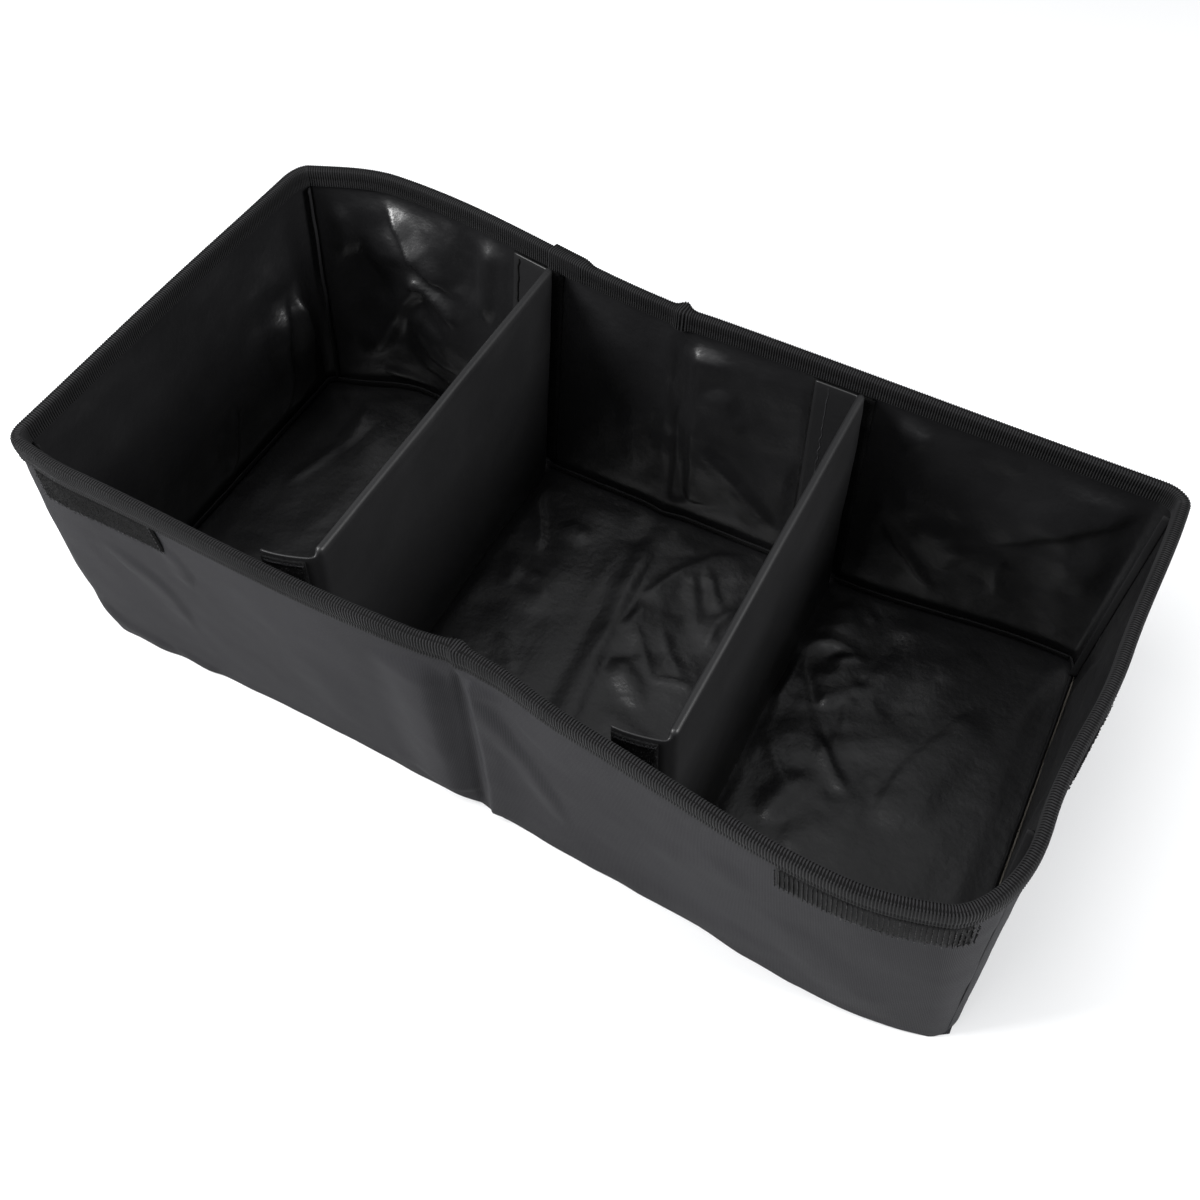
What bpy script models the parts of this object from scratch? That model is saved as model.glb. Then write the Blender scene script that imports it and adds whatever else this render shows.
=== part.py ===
"""Fold-flat fabric organizer for a car: an open bin with a bound rim and two dividers.

Every wall is a sandwich of woven outer fabric, a stiffener board and a coated lining. All layers
follow one wall surface, which runs straight from the base outline up to the rim outline, so that
they nest with a fixed clearance wherever the wall bulges or folds.
"""

import math
from dataclasses import dataclass
from functools import lru_cache

import bmesh
import bpy
import numpy as np

# Driving sizes in metres: X runs along the bin, -Y is its front, Z is up
LENGTH = 0.500
WIDTH = 0.227
HEIGHT = 0.159
GAP = 0.0003

# Layers of a wall, from the outside in
FABRIC = 0.0006
BOARD = 0.0013
LINING = 0.0005
FLOOR_BOARD = 0.0023

# Rim binding tape
TAPE = 0.0008
TAPE_OUTER_SIDE = 0.0122
TAPE_INNER_SIDE = 0.0100
TAPE_EDGE_ROUND = 0.0011
LAP_END_X = -0.089
LAP_LENGTH = 0.019
LAP_RISE = 0.004

# Inside seam bindings
FLOOR_SEAM_THICKNESS = 0.0012
FLOOR_SEAM_HEIGHT = 0.0052
FLOOR_SEAM_LEAN = 0.0015
CORNER_SEAM_THICKNESS = 0.0012
CORNER_SEAM_WIDTH = 0.0040

# Corner radii of the inside of the bin at the rim and at the base, from the front left round
RIM_CORNER_FRONT_LEFT = 0.0018
RIM_CORNER_FRONT_RIGHT = 0.0265
RIM_CORNER_BACK_RIGHT = 0.0050
RIM_CORNER_BACK_LEFT = 0.0016
BASE_CORNER_FRONT_LEFT = 0.0095
BASE_CORNER_FRONT_RIGHT = 0.0050
BASE_CORNER_BACK_RIGHT = 0.0022
BASE_CORNER_BACK_LEFT = 0.0030

# Mid fold, where the bin folds in half
FOLD_X = -0.006
FOLD_HALF_WIDTH = 0.0160
FOLD_BOARD_GAP = 0.0100
FRONT_FOLD_RIM_DEPTH = 0.0014
FRONT_FOLD_BASE_DEPTH = 0.0022
BACK_FOLD_RIM_DEPTH = 0.0008
BACK_FOLD_BASE_DEPTH = 0.0020
FOLD_LINING_SINK = 0.0014
BOARD_TOP_DROP = 0.0040

# Dividers
DIVIDER_HEIGHT = 0.1485
DIVIDER_BOARD = 0.0020
DIVIDER_COVER = 0.0005
DIVIDER_FOOT_CLEARANCE = 0.0008
LEFT_DIVIDER_X = -0.087
RIGHT_DIVIDER_X = 0.100
RIGHT_DIVIDER_LEAN = 0.006
TAB_LENGTH = 0.0250
TAB_THICKNESS = 0.0010
TAB_TOP_DROP = 0.0040
TAB_FOOT = 0.0130
TAB_BEND = 0.0040
FRONT_STAND_OFF_TOP = 0.0080
FRONT_STAND_OFF_FOOT = 0.0030
FRONT_TAB_SPRING = 0.0075
HOOK_TAPE = 0.0010
HOOK_SET_BACK = 0.0045
WALL_LOOP = 0.0012
WALL_LOOP_OVERHANG = 0.0020

# Hook-and-loop strips outside, under the rim
STRIP_THICKNESS = 0.0016
STRIP_HEIGHT = 0.0200
LEFT_STRIP_X = (0.0130 - LENGTH / 2, 0.0855 - LENGTH / 2)
RIGHT_STRIP_X = (LENGTH / 2 - 0.0965, LENGTH / 2 - 0.0200)
END_STRIP_Y = (-0.0450, 0.0380)
STRIP_TOP = HEIGHT - TAPE_OUTER_SIDE - GAP

# Stations along each stretch of the outline, and the least step from an end to a station, in bays
LEAST_STEP = 0.05
CORNER_BAYS = (4, 6, 4, 4)
SIDE_BAYS = (12, 12)
END_BAYS = 7

# Rows of facets: up a panel and its board below the strips, up the linings and across the floor
PANEL_ROWS = 2
FRONT_LINING_ROWS = 5
LINING_ROWS = 8
FLOOR_ROWS = 6
TAB_ROWS = 4

# Heights and depths that follow from the layers
WALL_FOOT = FABRIC + GAP
FLOOR_LINING_Z = WALL_FOOT + FLOOR_BOARD + GAP
FLOOR_TOP = FLOOR_LINING_Z + LINING
WALL_TOP = HEIGHT - TAPE - GAP
BOARD_INSET = FABRIC + GAP
LINING_INSET = BOARD_INSET + BOARD + GAP
WALL_DEPTH = LINING_INSET + LINING
TAPE_INSIDE = WALL_DEPTH + GAP + TAPE
LAP_GROWTH = TAPE + GAP
FLOOR_SEAM_INSET = WALL_DEPTH + 2 * GAP
FLOOR_SEAM_REACH = FLOOR_SEAM_INSET + FLOOR_SEAM_LEAN + FLOOR_SEAM_THICKNESS
FLOOR_SEAM_FOOT = FLOOR_TOP + GAP
FLOOR_SEAM_TOP = FLOOR_SEAM_FOOT + FLOOR_SEAM_HEIGHT
INNER_TRIM_TOP = HEIGHT - TAPE_INNER_SIDE - LAP_GROWTH - GAP
LOOP_INSET = WALL_DEPTH + GAP
HOOK_INSET = LOOP_INSET + WALL_LOOP + GAP
TAB_INSET = max(HOOK_INSET + HOOK_TAPE, TAPE_INSIDE + LAP_GROWTH) + GAP
DIVIDER_FOOT = FLOOR_TOP + DIVIDER_FOOT_CLEARANCE
DIVIDER_TOP = DIVIDER_FOOT + DIVIDER_HEIGHT
DIVIDER_HALF = DIVIDER_BOARD / 2 + GAP + DIVIDER_COVER

SLACK_FADE = 0.020


@dataclass(frozen=True)
class Bulge:
    """A smooth outward bulge of a wall: its middle, its reach to each side and its height."""

    middle: float
    reach_low: float
    reach_high: float
    height: float

    def at(self, place):
        """Height of the bulge at a place along the wall."""
        offset = place - self.middle
        reach = self.reach_high if offset > 0 else self.reach_low
        if abs(offset) >= reach:
            return 0.0
        return self.height * math.cos(math.pi / 2 * offset / reach) ** 2


@dataclass(frozen=True)
class Crease:
    """A soft ridge on a sheet, from start to end, in the sheet's own two coordinates."""

    start: tuple
    end: tuple
    width: float
    height: float

    def at(self, place):
        """Height of the ridge at a place on the sheet."""
        start = np.array(self.start)
        run = np.array(self.end) - start
        share = np.clip(np.dot(np.array(place) - start, run) / np.dot(run, run), 0.0, 1.0)
        distance = np.linalg.norm(np.array(place) - start - share * run)
        if distance >= self.width:
            return 0.0
        return self.height * math.cos(math.pi / 2 * distance / self.width) ** 2


# Bulges of the soft walls at the base outline (level 0) and at the rim outline (level 1)
BULGES = {
    ("front", 0): (Bulge(-0.140, 0.300, 0.200, -0.0050), Bulge(0.195, 0.150, 0.090, 0.0125)),
    ("front", 1): (
        Bulge(-0.2100, 0.063, 0.205, 0.0079),
        Bulge(-0.0460, 0.170, 0.180, 0.0112),
        Bulge(0.1770, 0.224, 0.128, 0.0331),
        Bulge(0.0120, 0.050, 0.042, -0.0036),
    ),
    ("back", 0): (Bulge(-0.185, 0.065, 0.100, 0.0180), Bulge(0.228, 0.120, 0.080, 0.0105)),
    ("back", 1): (Bulge(0.000, 0.250, 0.250, 0.0030), Bulge(-0.195, 0.085, 0.200, 0.0245)),
    ("right", 0): (),
    ("right", 1): (Bulge(0.100, 0.090, 0.060, 0.0036), Bulge(-0.075, 0.075, 0.085, -0.0078)),
    ("left", 0): (),
    ("left", 1): (Bulge(0.000, 0.110, 0.110, 0.0010),),
}

FOLD_DEPTHS = {
    ("front", 0): FRONT_FOLD_BASE_DEPTH,
    ("front", 1): FRONT_FOLD_RIM_DEPTH,
    ("back", 0): BACK_FOLD_BASE_DEPTH,
    ("back", 1): BACK_FOLD_RIM_DEPTH,
}

RIM_CORNERS = (
    RIM_CORNER_FRONT_LEFT,
    RIM_CORNER_FRONT_RIGHT,
    RIM_CORNER_BACK_RIGHT,
    RIM_CORNER_BACK_LEFT,
)
BASE_CORNERS = (
    BASE_CORNER_FRONT_LEFT,
    BASE_CORNER_FRONT_RIGHT,
    BASE_CORNER_BACK_RIGHT,
    BASE_CORNER_BACK_LEFT,
)

# Folds of the outer fabric and wrinkles of the lining, as place along the wall and height
FRONT_FABRIC_FOLDS = (
    Crease((0.000, 0.136), (0.020, 0.062), 0.013, 0.0024),
    Crease((0.020, 0.062), (0.041, 0.006), 0.014, 0.0024),
    Crease((0.150, 0.085), (0.215, 0.020), 0.030, 0.0016),
)
BACK_FABRIC_FOLDS = (
    Crease((0.012, 0.130), (0.018, 0.030), 0.015, 0.0018),
    Crease((-0.215, 0.110), (-0.150, 0.030), 0.030, 0.0016),
)
BACK_LINING_WRINKLES = (
    Crease((-0.206, 0.132), (-0.149, 0.098), 0.013, 0.0048),
    Crease((-0.183, 0.100), (-0.148, 0.076), 0.011, 0.0036),
    Crease((-0.127, 0.138), (-0.135, 0.080), 0.011, 0.0032),
    Crease((-0.211, 0.040), (-0.172, 0.018), 0.012, 0.0030),
    Crease((-0.060, 0.120), (-0.040, 0.045), 0.014, 0.0020),
    Crease((0.118, 0.064), (0.158, 0.023), 0.011, 0.0026),
    Crease((0.124, 0.128), (0.140, 0.110), 0.014, 0.0022),
    Crease((0.240, 0.135), (0.171, 0.096), 0.016, 0.0028),
)
FRONT_LINING_WRINKLES = (
    Crease((-0.190, 0.110), (-0.150, 0.050), 0.022, 0.0028),
    Crease((-0.050, 0.100), (-0.035, 0.035), 0.020, 0.0022),
    Crease((0.150, 0.110), (0.200, 0.040), 0.024, 0.0030),
)
LEFT_LINING_WRINKLES = (
    Crease((0.088, 0.090), (0.100, 0.030), 0.011, 0.0030),
    Crease((0.066, 0.105), (0.056, 0.030), 0.012, 0.0032),
    Crease((0.014, 0.062), (0.006, 0.018), 0.012, 0.0024),
    Crease((-0.050, 0.110), (-0.060, 0.040), 0.014, 0.0022),
)
RIGHT_LINING_WRINKLES = (
    Crease((0.030, 0.115), (0.060, 0.050), 0.014, 0.0024),
    Crease((-0.030, 0.105), (-0.055, 0.035), 0.015, 0.0026),
)
FLOOR_WRINKLES = (
    Crease((-0.076, 0.086), (-0.052, 0.044), 0.013, 0.0024),
    Crease((-0.070, 0.020), (-0.040, 0.012), 0.013, 0.0020),
    Crease((0.014, 0.070), (0.050, 0.086), 0.012, 0.0022),
    Crease((0.012, 0.020), (0.060, 0.010), 0.012, 0.0020),
    Crease((0.014, -0.040), (0.066, -0.062), 0.013, 0.0022),
    Crease((0.121, 0.098), (0.138, 0.084), 0.012, 0.0022),
    Crease((0.138, 0.060), (0.140, 0.016), 0.013, 0.0028),
    Crease((0.118, 0.040), (0.148, -0.004), 0.012, 0.0024),
    Crease((0.120, -0.039), (0.147, -0.052), 0.014, 0.0026),
    Crease((0.204, 0.063), (0.181, 0.002), 0.018, 0.0026),
    Crease((-0.220, 0.070), (-0.160, 0.030), 0.016, 0.0024),
    Crease((-0.200, -0.020), (-0.130, -0.050), 0.016, 0.0024),
)


def clear_scene():
    """Remove every object of the scene."""
    for item in list(bpy.data.objects):
        bpy.data.objects.remove(item, do_unlink=True)


@lru_cache(maxsize=None)
def finish(name, red, green, blue, roughness):
    """Give the Principled material of a finish."""
    material = bpy.data.materials.new(name)
    material.use_nodes = True
    shader = material.node_tree.nodes["Principled BSDF"]
    shader.inputs["Base Color"].default_value = (red, green, blue, 1.0)
    shader.inputs["Roughness"].default_value = roughness
    shader.inputs["Metallic"].default_value = 0.0
    material.diffuse_color = (red, green, blue, 1.0)
    return material


def outer_fabric():
    return finish("woven_outer_fabric", 0.034, 0.034, 0.037, 0.85)


def coated_lining():
    return finish("coated_lining", 0.014, 0.014, 0.015, 0.38)


def stiffener():
    return finish("stiffener_board", 0.30, 0.28, 0.25, 0.80)


def binding_tape():
    return finish("binding_tape", 0.030, 0.030, 0.031, 0.70)


def hook_tape():
    return finish("hook_tape", 0.016, 0.016, 0.017, 0.60)


def loop_pile():
    return finish("loop_pile", 0.012, 0.012, 0.013, 0.95)


def add_solid(name, points, faces, material):
    """Make a closed body from points and faces, with its faces turned outwards."""
    mesh = bpy.data.meshes.new(name)
    mesh.from_pydata([tuple(point) for point in points], [], faces)
    body = bmesh.new()
    body.from_mesh(mesh)
    bmesh.ops.recalc_face_normals(body, faces=body.faces)
    many_sided = [face for face in body.faces if len(face.verts) > 3]
    bmesh.ops.triangulate(body, faces=many_sided)
    body.to_mesh(mesh)
    body.free()
    mesh.materials.append(material)
    mesh.shade_smooth()
    mesh.set_sharp_from_angle(angle=math.radians(40))
    item = bpy.data.objects.new(name, mesh)
    bpy.context.scene.collection.objects.link(item)
    return item


def add_sheet(name, outside, inside, material):
    """Make a thin body between two grids of points that have the same rows and columns."""
    rows = len(outside)
    columns = len(outside[0])
    points = [point for grid in (outside, inside) for row in grid for point in row]
    back = rows * columns
    faces = []
    for row in range(rows - 1):
        for column in range(columns - 1):
            corner = row * columns + column
            right = corner + 1
            above = corner + columns
            across = above + 1
            faces.append((corner, right, across))
            faces.append((corner, across, above))
            faces.append((back + corner, back + across, back + right))
            faces.append((back + corner, back + above, back + across))
    border = [column for column in range(columns)]
    border += [row * columns + columns - 1 for row in range(1, rows)]
    border += [(rows - 1) * columns + column for column in range(columns - 2, -1, -1)]
    border += [row * columns for row in range(rows - 2, 0, -1)]
    for place, following in zip(border, border[1:] + border[:1]):
        faces.append((place, back + place, back + following))
        faces.append((place, back + following, following))
    return add_solid(name, points, faces, material)


def add_loft(name, sections, closed, material):
    """Make a body through sections of equal point counts, as a ring or with capped ends."""
    count = len(sections[0])
    points = [point for section in sections for point in section]
    faces = []
    for place in range(len(sections) if closed else len(sections) - 1):
        near = place * count
        far = (place + 1) % len(sections) * count
        for side in range(count):
            following = (side + 1) % count
            faces.append((near + side, near + following, far + following))
            faces.append((near + side, far + following, far + side))
    if not closed:
        faces.append(tuple(range(count)))
        faces.append(tuple(range(len(points) - count, len(points))))
    return add_solid(name, points, faces, material)


def corner_radius(level, corner):
    """Outer radius of a corner: the inside radius plus all that lies outside it."""
    if level:
        return RIM_CORNERS[corner] + TAPE_INSIDE
    return BASE_CORNERS[corner] + FLOOR_SEAM_REACH


def arc(centre, radius, start_degrees, bays):
    """Points and normals of a quarter circle, turning left."""
    places = []
    for bay in range(bays + 1):
        angle = math.radians(start_degrees + 90 * bay / bays)
        normal = (math.cos(angle), math.sin(angle))
        places.append((centre[0] + radius * normal[0], centre[1] + radius * normal[1], *normal))
    return places


def side_stations(low, high):
    """Places between the corners of a long wall, closer together at the mid fold."""
    lip = FOLD_BOARD_GAP / 2
    first = np.linspace(low, FOLD_X - FOLD_HALF_WIDTH, SIDE_BAYS[0] + 1)[1:]
    last = np.linspace(FOLD_X + FOLD_HALF_WIDTH, high, SIDE_BAYS[1] + 1)[:-1]
    return [*first, FOLD_X - lip, FOLD_X, FOLD_X + lip, *last]


def fold_depth(side, level, place):
    """How far a long wall dips inwards at the mid fold."""
    distance = abs(place - FOLD_X) / FOLD_HALF_WIDTH
    if distance >= 1:
        return 0.0
    return FOLD_DEPTHS[side, level] * (1 - distance) ** 1.4


def bulge(side, level, place):
    """Outward bulge of a wall at a place along it."""
    total = sum(part.at(place) for part in BULGES[side, level])
    if side in ("front", "back"):
        total -= fold_depth(side, level, place)
    return total


@lru_cache(maxsize=None)
def outline(level):
    """Outline of the fabric's outer face, anticlockwise from the middle of the front left corner.

    Returns the points and the station of each mark: the ends and the middle of every corner,
    and the three stations of each mid fold.
    """
    radii = [corner_radius(level, corner) for corner in range(4)]
    signs = ((-1, -1), (1, -1), (1, 1), (-1, 1))
    arcs = []
    for corner, (across, along) in enumerate(signs):
        centre = (across * (LENGTH / 2 - radii[corner]), along * (WIDTH / 2 - radii[corner]))
        arcs.append(arc(centre, radii[corner], 180 + 90 * corner, CORNER_BAYS[corner]))
    front = side_stations(arcs[0][-1][0], arcs[1][0][0])
    right = np.linspace(arcs[1][-1][1], arcs[2][0][1], END_BAYS + 1)[1:-1]
    back = side_stations(arcs[3][0][0], arcs[2][-1][0])[::-1]
    left = np.linspace(arcs[3][-1][1], arcs[0][0][1], END_BAYS + 1)[1:-1]
    half = CORNER_BAYS[0] // 2
    places = list(arcs[0][half:])
    marks = {"front_start": len(places) - 1}
    places += [(x, -WIDTH / 2, 0.0, -1.0) for x in front]
    marks["front_fold"] = marks["front_start"] + SIDE_BAYS[0] + 2
    marks["front_end"] = len(places)
    places += arcs[1]
    marks["right_start"] = len(places) - 1
    places += [(LENGTH / 2, y, 1.0, 0.0) for y in right]
    marks["right_end"] = len(places)
    places += arcs[2]
    marks["back_start"] = len(places) - 1
    places += [(x, WIDTH / 2, 0.0, 1.0) for x in back]
    marks["back_fold"] = marks["back_start"] + SIDE_BAYS[1] + 2
    marks["back_end"] = len(places)
    places += arcs[3]
    marks["left_start"] = len(places) - 1
    places += [(-LENGTH / 2, y, -1.0, 0.0) for y in left]
    marks["left_end"] = len(places)
    places += arcs[0][:half]
    marks["count"] = len(places)
    points = []
    for x, y, normal_x, normal_y in places:
        long_side = "back" if normal_y > 0 else "front"
        end = "right" if normal_x > 0 else "left"
        moved_x = x + normal_x * bulge(end, level, y)
        moved_y = y + normal_y * bulge(long_side, level, x)
        points.append((moved_x, moved_y))
    return np.array(points), marks


MARKS = outline(0)[1]
COUNT = MARKS["count"]
CORNER_MIDDLES = (
    0,
    MARKS["front_end"] + CORNER_BAYS[1] // 2,
    MARKS["right_end"] + CORNER_BAYS[2] // 2,
    MARKS["back_end"] + CORNER_BAYS[3] // 2,
    COUNT,
)


@lru_cache(maxsize=None)
def ring(level, inset):
    """The outline moved inwards by an inset, with mitred corners."""
    points = outline(level)[0]
    edges = np.roll(points, -1, axis=0) - points
    edges /= np.linalg.norm(edges, axis=1)[:, None]
    normals = np.stack([edges[:, 1], -edges[:, 0]], axis=1)
    before = np.roll(normals, 1, axis=0)
    mitre = (normals + before) / (1 + np.sum(normals * before, axis=1))[:, None]
    return points - inset * mitre


def plan_point(station, z, inset, shift=0.0):
    """Plan position of the wall at a station and height, moved inwards and along the wall."""
    low = int(math.floor(station))
    share = station - low
    result = np.zeros(2)
    for level, weight in ((0, 1 - z / HEIGHT), (1, z / HEIGHT)):
        points = ring(level, inset)
        here = points[low % COUNT]
        there = points[(low + 1) % COUNT]
        place = here + (there - here) * share
        if shift < 0 and share == 0:
            there = here
            here = points[(low - 1) % COUNT]
        run = (there - here) / np.linalg.norm(there - here)
        result += weight * (place + run * shift)
    return result


def outward(station, z):
    """Unit normal of the wall in plan."""
    outer = plan_point(station, z, 0.0)
    inner = plan_point(station, z, WALL_DEPTH)
    return (outer - inner) / np.linalg.norm(outer - inner)


def wall_station(side, place, z):
    """Station of a long wall or end at a given X (or Y, for an end) and height."""
    spans = {
        "front": (CORNER_MIDDLES[0], CORNER_MIDDLES[1]),
        "right": (CORNER_MIDDLES[1], CORNER_MIDDLES[2]),
        "back": (CORNER_MIDDLES[2], CORNER_MIDDLES[3]),
    }
    low, high = spans[side]
    axis = 1 if side == "right" else 0
    stations = list(range(low, high + 1))
    places = [plan_point(station, z, 0.0)[axis] for station in stations]
    if places[0] > places[-1]:
        stations.reverse()
        places.reverse()
    return float(np.interp(place, places, stations))


def wall_y(side, x, z, inset):
    """Y of a long wall at a given X, height and inset."""
    low, high = {
        "front": (MARKS["front_start"], MARKS["front_end"]),
        "back": (MARKS["back_start"], MARKS["back_end"]),
    }[side]
    points = np.array([plan_point(station, z, inset) for station in range(low, high + 1)])
    if side == "back":
        points = points[::-1]
    return float(np.interp(x, points[:, 0], points[:, 1]))


def fade(z, foot, top):
    """Weight that vanishes at the foot and the top of a sheet."""
    return min(1.0, max(0.0, (z - foot) / SLACK_FADE), max(0.0, (top - z) / SLACK_FADE))


def outer_levels(top):
    """Heights of the rows of a panel or board, with one at each edge of the trim outside it."""
    strip_foot = STRIP_TOP - STRIP_HEIGHT
    below = np.linspace(WALL_FOOT, strip_foot, PANEL_ROWS + 1)
    return [*below, STRIP_TOP, HEIGHT - TAPE_OUTER_SIDE, top]


def lining_levels(rows):
    """Heights of the rows of a lining, with one at each edge of the part that wrinkles."""
    return [FLOOR_LINING_Z, *np.linspace(FLOOR_SEAM_TOP, INNER_TRIM_TOP, rows - 1), WALL_TOP]


def add_wall_layer(name, span, levels, inset, thickness, material, slack=None):
    """Make one layer of a wall between two stations, with optional slack off the surface.

    slack takes a plan point and a height, and returns how far the layer stands off outwards.
    """
    stations = range(span[0], span[1] + 1)
    grids = []
    for depth in (inset, inset + thickness):
        grid = []
        for z in levels:
            line = []
            for station in stations:
                shift = GAP / 2 * ((station == span[0]) * 1.0 - (station == span[1]) * 1.0)
                place = plan_point(station, z, depth, shift)
                if slack:
                    place = place + outward(station, z) * slack(place, z)
                line.append((place[0], place[1], z))
            grid.append(line)
        grids.append(grid)
    return add_sheet(name, grids[0], grids[1], material)


def fabric_slack(folds, axis):
    """Slack of an outer panel: its folds stand off outwards."""
    top = HEIGHT - TAPE_OUTER_SIDE

    def stand_off(place, z):
        return sum(fold.at((place[axis], z)) for fold in folds) * fade(z, WALL_FOOT, top)

    return stand_off


def trimmed_place(place):
    """Weight that keeps wrinkles away from the dividers and what they grip."""
    weight = 1.0
    for divider_x in (LEFT_DIVIDER_X, RIGHT_DIVIDER_X):
        low = divider_x - TAB_LENGTH - WALL_LOOP_OVERHANG
        high = divider_x + RIGHT_DIVIDER_LEAN + WALL_LOOP_OVERHANG
        distance = max(low - place, place - high, 0.0)
        weight *= min(1.0, distance / TAB_LENGTH * 2)
    return weight


def lining_slack(wrinkles, axis):
    """Slack of a lining panel: wrinkles stand off inwards, and the mid fold sinks outwards."""

    def stand_off(place, z):
        weight = fade(z, FLOOR_SEAM_TOP, INNER_TRIM_TOP)
        corner = LENGTH / 2 if axis == 0 else WIDTH / 2
        weight *= min(1.0, max(0.0, corner - abs(place[axis]) - CORNER_SEAM_WIDTH) / SLACK_FADE)
        height = sum(wrinkle.at((place[axis], z)) for wrinkle in wrinkles) * weight
        if axis == 1:
            return -height
        height *= trimmed_place(place[0])
        sink = max(0.0, 1 - abs(place[0] - FOLD_X) / (FOLD_BOARD_GAP / 2))
        return FOLD_LINING_SINK * sink * weight - height * (sink == 0)

    return stand_off


def build_outer_panels():
    """The woven outer fabric of the four walls and the bottom."""
    walls = (
        ("front_outer_panel", 0, fabric_slack(FRONT_FABRIC_FOLDS, 0)),
        ("right_end_outer_panel", 1, None),
        ("back_outer_panel", 2, fabric_slack(BACK_FABRIC_FOLDS, 0)),
        ("left_end_outer_panel", 3, None),
    )
    for name, corner, slack in walls:
        span = (CORNER_MIDDLES[corner], CORNER_MIDDLES[corner + 1])
        levels = outer_levels(WALL_TOP)
        add_wall_layer(name, span, levels, 0.0, FABRIC, outer_fabric(), slack)
    edge = ring(0, 0.0)
    sections = [[(x, y, z) for x, y in edge] for z in (0.0, FABRIC)]
    add_loft("bottom_outer_panel", sections, False, outer_fabric())


def build_wall_boards():
    """The stiffener boards of the walls, parted at the mid folds."""
    levels = outer_levels(WALL_TOP - BOARD_TOP_DROP)
    spans = {
        "front_board_left": (MARKS["front_start"], MARKS["front_fold"] - 1),
        "front_board_right": (MARKS["front_fold"] + 1, MARKS["front_end"] + 1),
        "right_end_board": (MARKS["right_start"] - 1, MARKS["right_end"]),
        "back_board_right": (MARKS["back_start"], MARKS["back_fold"] - 1),
        "back_board_left": (MARKS["back_fold"] + 1, MARKS["back_end"]),
        "left_end_board": (MARKS["left_start"], MARKS["left_end"]),
    }
    for name, span in spans.items():
        add_wall_layer(name, span, levels, BOARD_INSET, BOARD, stiffener())


def build_floor_boards():
    """The two stiffener boards of the floor, parted at the mid fold."""
    edge = ring(0, LINING_INSET)
    halves = {
        "floor_board_right": range(MARKS["front_fold"] + 1, MARKS["back_fold"]),
        "floor_board_left": range(MARKS["back_fold"] + 1, COUNT + MARKS["front_fold"]),
    }
    for name, stations in halves.items():
        border = [edge[station % COUNT] for station in stations]
        levels = (WALL_FOOT, WALL_FOOT + FLOOR_BOARD)
        sections = [[(x, y, z) for x, y in border] for z in levels]
        add_loft(name, sections, False, stiffener())


def build_wall_linings():
    """The coated lining of the four walls, seamed just beside each inside corner."""
    walls = (
        ("front_lining", (MARKS["left_end"] - COUNT, MARKS["right_start"]), FRONT_LINING_ROWS,
         lining_slack(FRONT_LINING_WRINKLES, 0)),
        ("right_end_lining", (MARKS["right_start"], MARKS["right_end"]), LINING_ROWS,
         lining_slack(RIGHT_LINING_WRINKLES, 1)),
        ("back_lining", (MARKS["right_end"], MARKS["back_end"]), LINING_ROWS,
         lining_slack(BACK_LINING_WRINKLES, 0)),
        ("left_end_lining", (MARKS["back_end"], MARKS["left_end"]), LINING_ROWS,
         lining_slack(LEFT_LINING_WRINKLES, 1)),
    )
    for name, span, rows, slack in walls:
        levels = lining_levels(rows)
        add_wall_layer(name, span, levels, LINING_INSET, LINING, coated_lining(), slack)


def floor_rise(x, y):
    """Height of the floor lining's wrinkles, flat at the edges, fold and dividers."""
    front = wall_y("front", x, 0.0, FLOOR_SEAM_REACH)
    back = wall_y("back", x, 0.0, FLOOR_SEAM_REACH)
    ends = LENGTH / 2 - FLOOR_SEAM_REACH - abs(x)
    edge = min(y - front, back - y, ends)
    weight = min(1.0, max(0.0, edge / SLACK_FADE))
    for divider_x in (LEFT_DIVIDER_X, RIGHT_DIVIDER_X + RIGHT_DIVIDER_LEAN / 2):
        clear = abs(x - divider_x) - DIVIDER_HALF - RIGHT_DIVIDER_LEAN / 2
        weight *= min(1.0, max(0.0, clear / SLACK_FADE * 2))
    weight *= min(1.0, abs(x - FOLD_X) / FOLD_HALF_WIDTH)
    return weight * sum(wrinkle.at((x, y)) for wrinkle in FLOOR_WRINKLES)


def build_floor_lining():
    """The coated lining of the floor, as one sheet that wrinkles between the dividers."""
    inset = WALL_DEPTH + 2 * GAP
    edge = np.array([plan_point(station, FLOOR_TOP, inset) for station in range(COUNT)])
    low = edge[: MARKS["front_end"] + CORNER_BAYS[1] + 1]
    low = np.vstack([edge[MARKS["left_end"]:], low])
    high = edge[MARKS["right_end"]: MARKS["left_start"] + 1][::-1]
    columns = []
    for x in low[:, 0]:
        front = np.interp(x, low[:, 0], low[:, 1])
        back = np.interp(x, high[:, 0], high[:, 1])
        columns.append([(x, y) for y in np.linspace(front, back, FLOOR_ROWS + 1)])
    grids = []
    for foot in (FLOOR_LINING_Z, FLOOR_TOP):
        grids.append([[(x, y, foot + floor_rise(x, y)) for x, y in column] for column in columns])
    add_sheet("floor_lining", grids[0], grids[1], coated_lining())


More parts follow.
